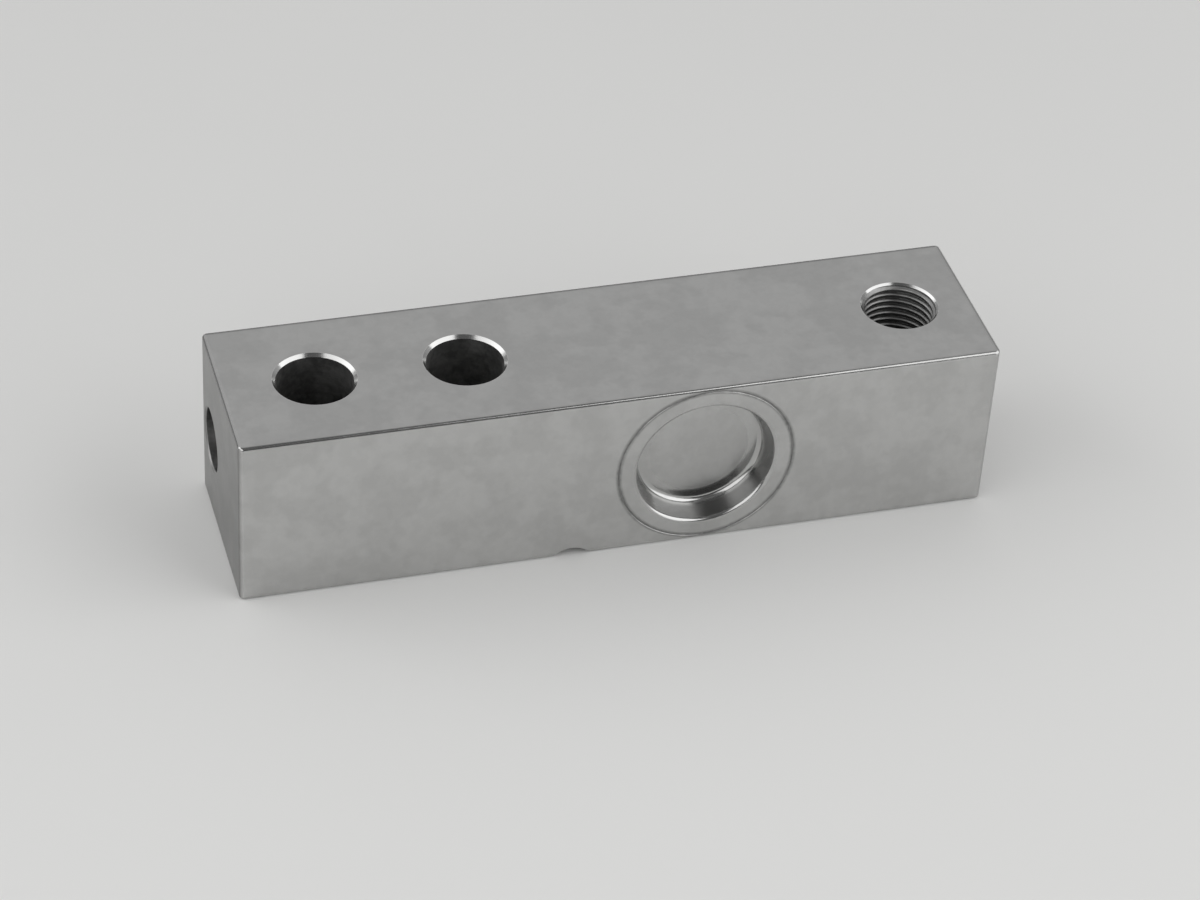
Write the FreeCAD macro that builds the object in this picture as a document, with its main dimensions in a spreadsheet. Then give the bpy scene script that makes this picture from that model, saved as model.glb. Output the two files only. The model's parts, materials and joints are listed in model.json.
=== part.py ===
"""Single-ended shear-beam load cell: a steel beam with two mounting holes, a tapped load hole and a
sealed gauge pocket in each side.

Frame: millimetres, +Z up.  The origin is on the underside, midway between the two mounting holes.
+X runs along the beam to its loaded end, and the rear side is +Y.
"""
import FreeCAD, Part
import math
import os

import Sketcher
from FreeCAD import Placement, Rotation, Vector

document = FreeCAD.newDocument("ShearBeamLoadCell")


# ---------------------------------------------------------------- driving dimensions

SIZES = (
    # the beam
    ("mount_end_margin", 15.8, "mounting end to the first hole"),
    ("bolt_spacing", 25.4, "between the two mounting holes"),
    ("load_reach", 76.2, "inner mounting hole to the load hole"),
    ("load_end_margin", 12.7, "load hole to the loaded end"),
    ("beam_width", 31.8, "across Y"),
    ("beam_height", 31.8, "along Z"),
    ("edge_round", 0.45, "radius on the top and bottom edges"),
    ("corner_round", 0.9, "radius on the four upright corners"),
    ("bolt_bore", 13.0, "diameter of a mounting hole"),
    ("bolt_chamfer", 0.55, "chamfer at both ends of a mounting hole"),
    ("load_bore", 12.7, "major diameter of the load thread"),
    ("load_chamfer", 0.35, "chamfer at both ends of the load thread"),
    ("relief_place", 28.1, "origin to the middle of the relief groove"),
    ("relief_width", 6.5, "width of the relief groove at the underside"),
    ("relief_depth", 1.5, "depth of the relief groove"),
    # gauge pockets and their sealing cups
    ("sheet", 0.5, "thickness of the cup's sheet"),
    ("flange_diameter", 30.2, "cup flange"),
    ("seam_gap", 0.2, "radial gap between the flange and its seat"),
    ("seam_break", 0.1, "broken edge on each side of the seam"),
    ("cup_bore", 24.2, "inside diameter of the cup at its mouth"),
    ("cup_depth", 4.4, "face to the edge of the cup's floor"),
    ("cup_draft", 1.05, "how far the cup's wall leans in"),
    ("lip_round", 0.7, "radius from flange to wall"),
    ("floor_round", 1.0, "radius from wall to floor"),
    ("crown_width", 17.0, "diameter of the floor's crowned middle"),
    ("floor_crown", 0.2, "rise of the floor's middle"),
    ("cup_gap", 0.5, "radial gap between the cup's wall and the pocket"),
    ("ledge_width", 3.1, "ledge round the inner pocket"),
    ("web", 3.2, "thickness of the sensing web"),
    # strain gauges and terminal strips, in a pocket's own frame
    ("carrier_width", 10.4, "gauge carrier along X"),
    ("carrier_height", 8.2, "gauge carrier along Z"),
    ("carrier_thickness", 0.1, "polyimide carrier"),
    ("foil_thickness", 0.05, "grid foil"),
    ("grid_length", 3.4, "length of a grid line"),
    ("grid_pitch", 0.5, "between two grid lines"),
    ("grid_line", 0.25, "width of a grid line"),
    ("grid_side", 2.5, "middle of the gauge to the middle of a grid"),
    ("grid_lift", 0.9, "middle of the web up to the middle of a grid"),
    ("tab_width", 1.2, "solder tab"),
    ("tab_height", 1.0, "solder tab"),
    ("tab_drop", 3.3, "middle of the web down to the tabs"),
    ("tab_pitch", 2.4, "between two tabs"),
    ("strip_width", 9.4, "terminal strip along X"),
    ("strip_height", 3.2, "terminal strip along Z"),
    ("strip_thickness", 0.8, "terminal strip"),
    ("strip_drop", 6.8, "middle of the web down to the strip"),
    ("terminal_pitch", 3.0, "between two terminals"),
    ("terminal_width", 2.0, "terminal along X"),
    ("terminal_height", 2.6, "terminal along Z"),
    ("copper", 0.1, "thickness of terminals and board pads"),
    # passage through the web
    ("passage_inset", 1.7, "edge of the inner pocket to the passage"),
    ("passage_bore", 2.5, "diameter of the passage"),
    ("sleeve_wall", 0.45, "wall of the lining sleeve"),
    ("sleeve_gap", 0.05, "radial gap round the sleeve"),
    ("sleeve_rim", 0.3, "how far the sleeve's rim stands past the passage"),
    ("sleeve_rim_thickness", 0.4, "thickness of that rim"),
    ("sleeve_stand", 0.8, "how far the sleeve stands out of the web"),
    # compensation board on the rear ledge
    ("board_gap", 0.4, "radial gap round the board"),
    ("board_thickness", 1.0, "compensation board"),
    ("board_slot_width", 1.6, "slot for the rear leads"),
    ("board_slot_length", 9.0, "slot for the rear leads"),
    ("board_hole", 3.0, "hole for the front leads"),
    ("lead_pad", 1.5, "square pad for a lead"),
    ("wire_pad", 1.8, "square pad for a wire"),
    ("wire_pad_side", 5.8, "middle of the board to the wire pads"),
    ("wire_pad_pitch", 3.0, "between two wire pads"),
    ("front_pad_side", 5.0, "middle of the board to the front leads' pads"),
    ("front_pad_pitch", 1.9, "between the front leads' pads"),
    ("rear_pad_drop", 4.8, "middle of the board down to the rear leads' pads"),
    ("trim_length", 3.2, "trim resistor"),
    ("trim_width", 1.6, "trim resistor"),
    ("trim_step", 2.8, "between two rows of trim resistors"),
    ("span_length", 5.0, "span resistor"),
    ("span_width", 2.5, "span resistor"),
    ("span_step", 3.4, "between the two span resistors"),
    ("span_lift", 4.7, "middle of the board up to the lower span resistor"),
    ("chip_height", 0.6, "both kinds of resistor"),
    # cable inlet in the mounting end
    ("gland_inset", 7.5, "rear side face to the inlet"),
    ("gland_drop", 0.9, "pockets' axis down to the inlet"),
    ("gland_bore", 11.0, "diameter of the inlet"),
    ("gland_mouth_break", 0.3, "chamfer at the inlet's mouth"),
    ("ring_recess", 2.2, "end face to the gland ring"),
    ("ring_thickness", 2.2, "gland ring"),
    ("ring_bore", 6.2, "hole in the gland ring"),
    ("ring_gap", 0.08, "radial gap round the gland ring"),
    ("ring_break", 0.3, "chamfer on the gland ring"),
    ("spanner_slot", 1.4, "width of the slot across the gland ring"),
    ("spanner_depth", 0.8, "depth of that slot"),
    ("washer_thickness", 0.4, "each washer"),
    ("washer_bore", 6.0, "hole in each washer"),
    ("washer_gap", 0.15, "radial gap round each washer"),
    ("grommet_thickness", 2.6, "cable grommet"),
    ("grommet_bore", 5.6, "hole for the cable"),
    ("grommet_gap", 0.05, "radial gap round the grommet"),
    ("grommet_break", 0.25, "chamfer at both mouths of the grommet's hole"),
    # sealed header and wiring behind the inlet
    ("header_bore", 6.0, "diameter of the header's chamber"),
    ("header_chamber", 4.0, "length of the header's chamber"),
    ("header_length", 2.6, "header shell"),
    ("header_wall", 0.8, "header shell"),
    ("glass_step", 0.15, "how far the glass lies inside the shell's ends"),
    ("pin_diameter", 0.5, "header pin"),
    ("pin_stand_out", 1.0, "pin past the shell towards the inlet"),
    ("pin_stand_in", 1.4, "pin past the shell towards the pocket"),
    ("wire_bore", 3.8, "diameter of the drilling for the wires"),
    ("wire_diameter", 0.8, "insulated wire"),
    ("wire_pitch", 1.0, "between two wires or two pins"),
    ("wire_lift", 0.1, "board's pads up to the lower wires in their drilling"),
    ("wire_headroom", 0.1, "upper wires up to the cup"),
    ("wire_bend", 1.2, "how far before the middle of its pad a wire lies down"),
    ("lead_diameter", 0.4, "insulated lead"),
    ("lead_turn", 0.6, "how far past a terminal or pad a lead turns"),
    ("lead_spread", 0.45, "half the spread of the three leads in the sleeve"),
    ("lead_step", 0.6, "between the levels at which the front leads cross the pocket"),
    ("lead_rise", 1.3, "terminals up to the lowest front lead"),
    ("ribbon_width", 0.4, "flat ribbon from a tab to its terminal"),
    ("ribbon_thickness", 0.12, "that ribbon"),
    ("ribbon_arch", 0.3, "height of that ribbon's arch over its terminal"),
)

# Places worked out from the sizes.
PLACES = (
    ("mount_end", "-(Sizes.bolt_spacing / 2 + Sizes.mount_end_margin)", "X of the mounting end"),
    ("load_x", "Sizes.bolt_spacing / 2 + Sizes.load_reach", "X of the load hole"),
    ("load_end", "Places.load_x + Sizes.load_end_margin", "X of the loaded end"),
    ("side", "Sizes.beam_width / 2", "Y of the rear side face"),
    ("relief_radius", "(Sizes.relief_width ^ 2 / 4 + Sizes.relief_depth ^ 2) / (2 * Sizes.relief_depth)",
     "radius of the relief groove's arc"),
    ("pocket_x", "(Sizes.bolt_spacing + Sizes.load_reach) / 2", "X of the pockets' axis"),
    ("pocket_z", "Sizes.beam_height / 2", "Z of the pockets' axis"),
    ("seat_radius", "Sizes.flange_diameter / 2 + Sizes.seam_gap", "seat of the cup flange"),
    ("cup_radius", "Sizes.cup_bore / 2", "cup's wall at the mouth, on the side that shows"),
    ("crown_radius", "(Sizes.crown_width ^ 2 / 4 + Sizes.floor_crown ^ 2) / (2 * Sizes.floor_crown)",
     "radius of the crown's arc"),
    ("pocket_radius", "Places.cup_radius + Sizes.sheet + Sizes.cup_gap", "outer pocket"),
    ("board_room", "Sizes.copper + Sizes.wire_lift + Sizes.wire_pitch + Sizes.wire_diameter"
                   " + Sizes.wire_headroom", "board up to the cup"),
    ("ledge", "Places.side - Sizes.cup_depth - Sizes.sheet - Places.board_room - Sizes.board_thickness",
     "distance of a ledge from the middle plane"),
    ("gauge_radius", "Places.pocket_radius - Sizes.ledge_width", "inner pocket"),
    ("passage_side", "Places.gauge_radius - Sizes.passage_inset", "pockets' axis to the passage"),
    ("web_face", "Sizes.web / 2", "distance of a web face from the middle plane"),
    ("foil_seat", "Places.web_face + Sizes.carrier_thickness", "underside of the foil"),
    ("terminal_seat", "Places.web_face + Sizes.strip_thickness", "underside of the terminals"),
    ("terminal_top", "Places.terminal_seat + Sizes.copper", "top of the terminals"),
    ("board_top", "Places.ledge + Sizes.board_thickness", "outer face of the board"),
    ("board_radius", "Places.pocket_radius - Sizes.board_gap", "compensation board"),
    ("wire_rest", "Places.board_top + Sizes.copper + Sizes.wire_diameter / 2", "wire lying on a pad"),
    ("wire_y", "Places.wire_rest + Sizes.wire_lift + Sizes.wire_pitch / 2", "Y of the wires' drilling"),
    ("wire_end", "Places.pocket_x - Places.cup_radius + Sizes.cup_draft", "X where the drilling stops"),
    ("gland_y", "Places.side - Sizes.gland_inset", "Y of the inlet"),
    ("gland_z", "Places.pocket_z - Sizes.gland_drop", "Z of the inlet"),
    ("gland_floor", "Sizes.ring_recess + Sizes.ring_thickness + 2 * Sizes.washer_thickness"
                    " + Sizes.grommet_thickness", "depth of the inlet from the end face"),
    ("header_seat", "Places.mount_end + Places.gland_floor + Sizes.header_chamber",
     "X of the shoulder that the header seats on"),
)


def make_sheet(name, rows):
    """A spreadsheet with a note, a value and an alias on each row."""
    sheet = document.addObject("Spreadsheet::Sheet", name)
    for row, (alias, value, note) in enumerate(rows, start=1):
        sheet.set(f"A{row}", note)
        sheet.setAlias(f"B{row}", alias)
        sheet.set(f"B{row}", f"={value}" if isinstance(value, str) else str(value))
    return sheet


sizes = make_sheet("Sizes", SIZES)
places = make_sheet("Places", PLACES)
document.recompute()


def number(formula):
    """What a formula over the two sheets comes to now."""
    return float(places.evalExpression(formula))


def size(alias):
    return float(sizes.get(alias))


def place(alias):
    return float(places.get(alias))


# ---------------------------------------------------------------- sketches and features

def new_body(label, base=("0", "0", "0"), turn=0):
    """A body that stands at three formulas, turned about Z."""
    body = document.addObject("PartDesign::Body", label)
    body.Label = label
    body.AllowCompound = True
    body.Placement = Placement(Vector(), Rotation(Vector(0, 0, 1), turn))
    for axis, formula in zip("xyz", base):
        body.setExpression(f"Placement.Base.{axis}", formula)
    return body


def origin_plane(body, role):
    return next(item for item in body.Origin.OriginFeatures if item.Role == role)


def new_sketch(body, plane, name, offset=("0", "0", "0")):
    """A sketch on an origin plane of the body, shifted along its own axes by three formulas."""
    sketch = body.newObject("Sketcher::SketchObject", name)
    sketch.AttachmentSupport = [(origin_plane(body, plane), "")]
    sketch.MapMode = "FlatFace"
    for axis, formula in zip("xyz", offset):
        sketch.setExpression(f"AttachmentOffset.Base.{axis}", formula)
    return sketch


def bind(sketch, constraint, formula):
    """Add a constraint whose value follows a formula."""
    index = sketch.addConstraint(constraint)
    sketch.setExpression(f"Constraints[{index}]", formula)


def pin_point(sketch, element, point, across, up):
    """Fix a point of the sketch at two formulas from the sketch's origin."""
    for kind, formula in (("DistanceX", across), ("DistanceY", up)):
        bind(sketch, Sketcher.Constraint(kind, -1, 1, element, point, number(formula)), formula)


def add_outline(sketch, corners, arcs=None):
    """A closed outline through corners given by formulas.

    arcs maps a corner's number to the formula for the radius of the arc that leaves it, positive
    where the arc's centre lies to its left.
    """
    arcs = arcs or {}
    first = sketch.GeometryCount
    spots = [Vector(number(across), number(up), 0) for across, up in corners]
    count = len(spots)
    ends = []
    for index, here in enumerate(spots):
        there = spots[(index + 1) % count]
        if index not in arcs:
            sketch.addGeometry(Part.LineSegment(here, there), False)
            ends.append((1, 2))
            continue
        radius = number(arcs[index])
        chord = there - here
        middle = (here + there) / 2
        left = Vector(-chord.y, chord.x, 0).normalize() * math.copysign(1, radius)
        rise = math.sqrt(radius ** 2 - chord.Length ** 2 / 4)
        centre = middle + left * rise
        circle = Part.Circle(centre, Vector(0, 0, 1), abs(radius))
        start, stop = (here, there) if radius > 0 else (there, here)
        sketch.addGeometry(Part.ArcOfCircle(circle, circle.parameter(start), circle.parameter(stop)), False)
        ends.append((1, 2) if radius > 0 else (2, 1))
    for index, (across, up) in enumerate(corners):
        before = (index - 1) % count
        sketch.addConstraint(Sketcher.Constraint(
            "Coincident", first + before, ends[before][1], first + index, ends[index][0]))
        pin_point(sketch, first + index, ends[index][0], across, up)
    for index, formula in arcs.items():
        bind(sketch, Sketcher.Constraint("Radius", first + index, abs(number(formula))), f"abs({formula})")


def add_box(sketch, across, up, width, height):
    """A rectangle about a middle point."""
    left, right = (f"({across}) {sign} ({width}) / 2" for sign in "-+")
    low, high = (f"({up}) {sign} ({height}) / 2" for sign in "-+")
    add_outline(sketch, ((left, low), (right, low), (right, high), (left, high)))


def add_circle(sketch, across, up, diameter):
    centre = Vector(number(across), number(up), 0)
    element = sketch.addGeometry(Part.Circle(centre, Vector(0, 0, 1), number(diameter) / 2), False)
    bind(sketch, Sketcher.Constraint("Diameter", element, number(diameter)), diameter)
    pin_point(sketch, element, 3, across, up)


def add_feature(body, kind, name, sketch, reverse=False, symmetric=False, **formulas):
    """A Pad or Pocket of a sketch; reverse turns its direction round."""
    feature = body.newObject(f"PartDesign::{kind}", name)
    feature.Profile = sketch
    feature.Reversed = reverse
    if symmetric:
        feature.SideType = "Symmetric"
    for name_of_size, formula in formulas.items():
        feature.setExpression(name_of_size, formula)
    sketch.Visibility = False
    document.recompute()
    return feature


def add_turned(body, kind, name, sketch, axis):
    """A full Revolution or Groove of a sketch about one of its own axes."""
    feature = body.newObject(f"PartDesign::{kind}", name)
    feature.Profile = sketch
    feature.ReferenceAxis = (sketch, [axis])
    feature.Angle = 360
    sketch.Visibility = False
    document.recompute()
    return feature


def dress_edges(body, kind, name, chosen, formula):
    """A Fillet or Chamfer on each edge of the body's tip that the test picks."""
    tip = body.Tip
    edges = [f"Edge{index}" for index, edge in enumerate(tip.Shape.Edges, start=1) if chosen(edge)]
    if not edges:
        raise RuntimeError(f"{body.Label}: no edge for {name}")
    feature = body.newObject(f"PartDesign::{kind}", name)
    feature.Base = (tip, edges)
    feature.setExpression("Radius" if kind == "Fillet" else "Size", formula)
    document.recompute()
    return feature


def runs_along(edge, axis):
    """True for a straight edge along one axis."""
    if edge.Curve.TypeId != "Part::GeomLine":
        return False
    direction = edge.Curve.Direction
    return abs(abs(getattr(direction, axis)) - 1) < 1e-6


def lies_flat(edge, level):
    """True for an edge whose every point is at one Z."""
    box = edge.BoundBox
    return box.ZLength < 1e-6 and abs(box.ZMin - level) < 1e-6


def is_round(edge, radius, axis, level):
    """True for a full circle of a radius about an axis, at a level along that axis."""
    if edge.Degenerated or not edge.Closed or edge.Curve.TypeId != "Part::GeomCircle":
        return False
    curve = edge.Curve
    return (abs(curve.Radius - radius) < 1e-4 and abs(abs(getattr(curve.Axis, axis)) - 1) < 1e-6
            and abs(getattr(curve.Center, axis) - level) < 1e-4)


# ---------------------------------------------------------------- the beam

def make_beam():
    """The block, its holes, the two stepped pockets, the relief groove and the wiring drillings."""
    beam = new_body("beam_body")

    side_view = new_sketch(beam, "XZ_Plane", "BeamOutline")
    add_outline(side_view, (
        ("Places.mount_end", "0"), ("Places.load_end", "0"),
        ("Places.load_end", "Sizes.beam_height"), ("Places.mount_end", "Sizes.beam_height")))
    add_feature(beam, "Pad", "Block", side_view, symmetric=True, Length="Sizes.beam_width")
    dress_edges(beam, "Fillet", "UprightCorners", lambda edge: runs_along(edge, "z"), "Sizes.corner_round")
    height = size("beam_height")
    dress_edges(beam, "Fillet", "TopAndBottomEdges",
                lambda edge: lies_flat(edge, 0) or lies_flat(edge, height), "Sizes.edge_round")

    plan = new_sketch(beam, "XY_Plane", "HolesInPlan")
    for across, diameter in (("-Sizes.bolt_spacing / 2", "Sizes.bolt_bore"),
                             ("Sizes.bolt_spacing / 2", "Sizes.bolt_bore"),
                             ("Places.load_x", "Sizes.load_bore")):
        add_circle(plan, across, "0", diameter)
    add_feature(beam, "Pocket", "UprightHoles", plan, reverse=True, Length="Sizes.beam_height")
    for name, bore, formula in (("BoltChamfers", "bolt_bore", "Sizes.bolt_chamfer"),
                                ("LoadChamfers", "load_bore", "Sizes.load_chamfer")):
        dress_edges(beam, "Chamfer", name,
                    lambda edge: any(is_round(edge, size(bore) / 2, "z", level) for level in (0, height)),
                    formula)

    relief = new_sketch(beam, "XZ_Plane", "ReliefCutter")
    add_circle(relief, "Sizes.relief_place", "Sizes.relief_depth - Places.relief_radius",
               "2 * Places.relief_radius")
    add_feature(beam, "Pocket", "ReliefGroove", relief, symmetric=True, Length="Sizes.beam_width + 2")

    # One side of the stepped pocket, from its axis outwards; past the face it runs on by 1 mm.
    step = new_sketch(beam, "XY_Plane", "PocketSection", ("Places.pocket_x", "0", "Places.pocket_z"))
    add_outline(step, (
        ("0", "Places.side + 1"),
        ("Places.seat_radius + Sizes.seam_break + 1", "Places.side + 1"),
        ("Places.seat_radius", "Places.side - Sizes.seam_break"),
        ("Places.seat_radius", "Places.side - Sizes.sheet"),
        ("Places.pocket_radius", "Places.side - Sizes.sheet"),
        ("Places.pocket_radius", "Places.ledge"),
        ("Places.gauge_radius", "Places.ledge"),
        ("Places.gauge_radius", "Places.web_face"),
        ("0", "Places.web_face")))
    rear_pocket = add_turned(beam, "Groove", "RearPocket", step, "V_Axis")
    front_pocket = beam.newObject("PartDesign::Mirrored", "FrontPocket")
    front_pocket.Originals = [rear_pocket]
    front_pocket.MirrorPlane = (origin_plane(beam, "XZ_Plane"), [""])
    beam.Tip = front_pocket
    document.recompute()

    passage = new_sketch(beam, "XZ_Plane", "PassageCircle")
    add_circle(passage, "Places.pocket_x + Places.passage_side", "Places.pocket_z", "Sizes.passage_bore")
    add_feature(beam, "Pocket", "Passage", passage, symmetric=True, Length="2 * Sizes.web")

    # The inlet, the header's chamber and the wires' drilling, all from the mounting end.
    drillings = (
        ("Inlet", "Places.gland_y", "Sizes.gland_bore", "Places.gland_floor"),
        ("HeaderChamber", "Places.wire_y", "Sizes.header_bore", "Places.gland_floor + Sizes.header_chamber"),
        ("WireDrilling", "Places.wire_y", "Sizes.wire_bore", "Places.wire_end - Places.mount_end"))
    for name, across, diameter, depth in drillings:
        circle = new_sketch(beam, "YZ_Plane", f"{name}Circle", ("0", "0", "Places.mount_end"))
        add_circle(circle, across, "Places.gland_z", diameter)
        add_feature(beam, "Pocket", name, circle, reverse=True, Length=depth)
    dress_edges(beam, "Chamfer", "InletChamfer",
                lambda edge: is_round(edge, size("gland_bore") / 2, "x", place("mount_end")),
                "Sizes.gland_mouth_break")
    return beam


# ---------------------------------------------------------------- sides of the gauge pockets

POCKET_BASE = ("Places.pocket_x", "0", "Places.pocket_z")
# A pocket's own frame has its middle on the web's middle plane and +Y out of the pocket's mouth.
POCKETS = (("rear", 0), ("front", 180))


def make_cup(side, turn):
    """The sealing cup: a flange flush with the beam's side and a round dish, in one thin sheet."""
    cup = new_body(f"{side}_cup", POCKET_BASE, turn)
    section = new_sketch(cup, "XY_Plane", "CupSection")
    floor = "Places.side - Sizes.cup_depth"
    foot = "Places.cup_radius - Sizes.cup_draft"
    edge_of_crown = "Sizes.crown_width / 2"
    add_outline(section, (
        ("0", f"{floor} + Sizes.floor_crown"),
        (edge_of_crown, floor),
        (foot, floor),
        ("Places.cup_radius", "Places.side"),
        ("Sizes.flange_diameter / 2 - Sizes.seam_break", "Places.side"),
        ("Sizes.flange_diameter / 2", "Places.side - Sizes.seam_break"),
        ("Sizes.flange_diameter / 2", "Places.side - Sizes.sheet"),
        ("Places.cup_radius + Sizes.sheet", "Places.side - Sizes.sheet"),
        (f"{foot} + Sizes.sheet", f"{floor} - Sizes.sheet"),
        (edge_of_crown, f"{floor} - Sizes.sheet"),
        ("0", f"{floor} + Sizes.floor_crown - Sizes.sheet")),
        arcs={0: "-Places.crown_radius"})
    add_turned(cup, "Revolution", "PressedSheet", section, "V_Axis")
    wall = place("cup_radius")
    face = place("side")
    foot_radius = number(foot)
    floor_level = number(floor)
    sheet = size("sheet")
    # On the sealed side a bend is a flat that touches its arc at the middle, so the sheet keeps its thickness.
    bends = (
        ("Fillet", "LipOutside", wall, face, "Sizes.lip_round"),
        ("Chamfer", "LipInside", wall + sheet, face - sheet,
         "(Sizes.lip_round - Sizes.sheet) * (2 - sqrt(2))"),
        ("Fillet", "FloorInside", foot_radius, floor_level, "Sizes.floor_round"),
        ("Chamfer", "FloorOutside", foot_radius + sheet, floor_level - sheet,
         "(Sizes.floor_round + Sizes.sheet) * (2 - sqrt(2))"))
    for kind, name, radius, level, formula in bends:
        dress_edges(cup, kind, name, lambda edge: is_round(edge, radius, "y", level), formula)
    return cup


def make_gauge_carrier(side, turn):
    """The polyimide film that carries the grids, bonded to the web."""
    carrier = new_body(f"{side}_gauge_carrier", POCKET_BASE, turn)
    plan = new_sketch(carrier, "XZ_Plane", "CarrierPlan", ("0", "0", "-Places.web_face"))
    add_box(plan, "0", "0", "Sizes.carrier_width", "Sizes.carrier_height")
    add_feature(carrier, "Pad", "Film", plan, reverse=True, Length="Sizes.carrier_thickness")
    return carrier


def make_terminal_strip(side, turn):
    """The small board below the gauge where its wires change to leads."""
    strip = new_body(f"{side}_terminal_strip", POCKET_BASE, turn)
    plan = new_sketch(strip, "XZ_Plane", "StripPlan", ("0", "0", "-Places.web_face"))
    add_box(plan, "0", "-Sizes.strip_drop", "Sizes.strip_width", "Sizes.strip_height")
    add_feature(strip, "Pad", "Strip", plan, reverse=True, Length="Sizes.strip_thickness")
    return strip


def make_terminal_pads(side, turn):
    """Three copper terminals on the strip."""
    pads = new_body(f"{side}_terminal_pads", POCKET_BASE, turn)
    plan = new_sketch(pads, "XZ_Plane", "TerminalPlan", ("0", "0", "-Places.terminal_seat"))
    for step in (-1, 0, 1):
        add_box(plan, f"{step} * Sizes.terminal_pitch", "-Sizes.strip_drop",
                "Sizes.terminal_width", "Sizes.terminal_height")
    add_feature(pads, "Pad", "Terminals", plan, reverse=True, Length="Sizes.copper")
    return pads


def flat_line(start, end, width, thickness):
    """A flat line of foil in the XZ plane from start to end, with half a width added at each end."""
    run = end - start
    length = run.Length + width
    line = Part.makeBox(length, thickness, width, Vector(-width / 2, 0, -width / 2))
    angle = math.degrees(math.atan2(run.z, run.x))
    line.Placement = Placement(start, Rotation(Vector(0, 1, 0), -angle))
    return line


def gauge_grid(turn, middle):
    """The path of one grid: parallel lines joined at alternate ends, leaning at turn degrees."""
    count = 6
    pitch = size("grid_pitch")
    half = size("grid_length") / 2
    path = []
    for index in range(count):
        across = (index - (count - 1) / 2) * pitch
        rising = (Vector(across, 0, -half), Vector(across, 0, half))
        path.extend(rising if index % 2 == 0 else reversed(rising))
    lean = Rotation(Vector(0, 1, 0), -turn)
    return [middle + lean.multVec(point) for point in path]


def make_gauge_foil(side, turn):
    """Two grids at plus and minus 45 degrees with three solder tabs: a shear half-bridge."""
    thickness = size("foil_thickness")
    line = size("grid_line")
    tabs = [Vector(step * size("tab_pitch"), 0, -size("tab_drop")) for step in (-1, 0, 1)]
    pieces = []
    for hand, outer_tab in ((-1, tabs[0]), (1, tabs[2])):
        middle = Vector(hand * size("grid_side"), 0, size("grid_lift"))
        path = gauge_grid(-hand * 45, middle)
        if hand > 0:
            path.reverse()
        path = [outer_tab] + path + [tabs[1]]
        pieces += [flat_line(here, there, line, thickness) for here, there in zip(path, path[1:])]
    for tab in tabs:
        corner = tab - Vector(size("tab_width") / 2, 0, size("tab_height") / 2)
        pieces.append(Part.makeBox(size("tab_width"), thickness, size("tab_height"), corner))
    foil = document.addObject("Part::Feature", f"{side}_gauge_foil")
    foil.Label = f"{side}_gauge_foil"
    foil.Shape = pieces[0].fuse(pieces[1:]).removeSplitter()
    lift = Placement(Vector(0, place("foil_seat"), 0), Rotation())
    foil.Placement = pocket_placement(turn).multiply(lift)
    return foil


def pocket_placement(turn):
    """Where a pocket's own frame stands on the beam."""
    return Placement(Vector(place("pocket_x"), 0, place("pocket_z")), Rotation(Vector(0, 0, 1), turn))


# ---------------------------------------------------------------- passage through the web

def make_sleeve():
    """The rimmed sleeve that lines the passage, put in from the rear pocket."""
    sleeve = new_body("crossover_sleeve", ("Places.pocket_x + Places.passage_side", "0", "Places.pocket_z"))
    section = new_sketch(sleeve, "XY_Plane", "SleeveSection")
    outer = "Sizes.passage_bore / 2 - Sizes.sleeve_gap"
    inner = f"{outer} - Sizes.sleeve_wall"
    rim = "Sizes.passage_bore / 2 + Sizes.sleeve_rim"
    end = "Places.web_face + Sizes.sleeve_stand"
    add_outline(section, (
        (inner, f"-({end})"), (outer, f"-({end})"), (outer, "Places.web_face"), (rim, "Places.web_face"),
        (rim, "Places.web_face + Sizes.sleeve_rim_thickness"),
        (outer, "Places.web_face + Sizes.sleeve_rim_thickness"), (outer, end), (inner, end)))
    add_turned(sleeve, "Revolution", "Lining", section, "V_Axis")
    return sleeve


# ---------------------------------------------------------------- compensation board

def make_board():
    """The round board on the rear ledge, with a slot and a hole for the leads."""
    board = new_body("compensation_board", POCKET_BASE)
    plan = new_sketch(board, "XZ_Plane", "BoardPlan", ("0", "0", "-Places.ledge"))
    add_circle(plan, "0", "0", "2 * Places.board_radius")
    add_circle(plan, "Places.passage_side", "0", "Sizes.board_hole")
    add_box(plan, "0", "-(Sizes.strip_drop + Sizes.lead_turn)",
            "Sizes.board_slot_length", "Sizes.board_slot_width")
    add_feature(board, "Pad", "Disc", plan, reverse=True, Length="Sizes.board_thickness")
    return board


# Relative to the middle of the board: Z of the four wires' pads, counted from the wires' drilling.
WIRE_STEPS = (-1.5, -0.5, 0.5, 1.5)
WIRE_BASE_Z = "-Sizes.gland_drop"


def make_board_pads():
    """Copper pads for the four wires, the three front leads and the three rear leads."""
    pads = new_body("board_pads", POCKET_BASE)
    plan = new_sketch(pads, "XZ_Plane", "PadPlan", ("0", "0", "-Places.board_top"))
    for step in WIRE_STEPS:
        add_box(plan, "-Sizes.wire_pad_side", f"{WIRE_BASE_Z} + {step} * Sizes.wire_pad_pitch",
                "Sizes.wire_pad", "Sizes.wire_pad")
    for step in (-1, 0, 1):
        for across, up in (("Sizes.front_pad_side", f"{step} * Sizes.front_pad_pitch"),
                           (f"{step} * Sizes.terminal_pitch", "-Sizes.rear_pad_drop")):
            add_box(plan, across, up, "Sizes.lead_pad", "Sizes.lead_pad")
    add_feature(pads, "Pad", "Pads", plan, reverse=True, Length="Sizes.copper")
    return pads


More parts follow.
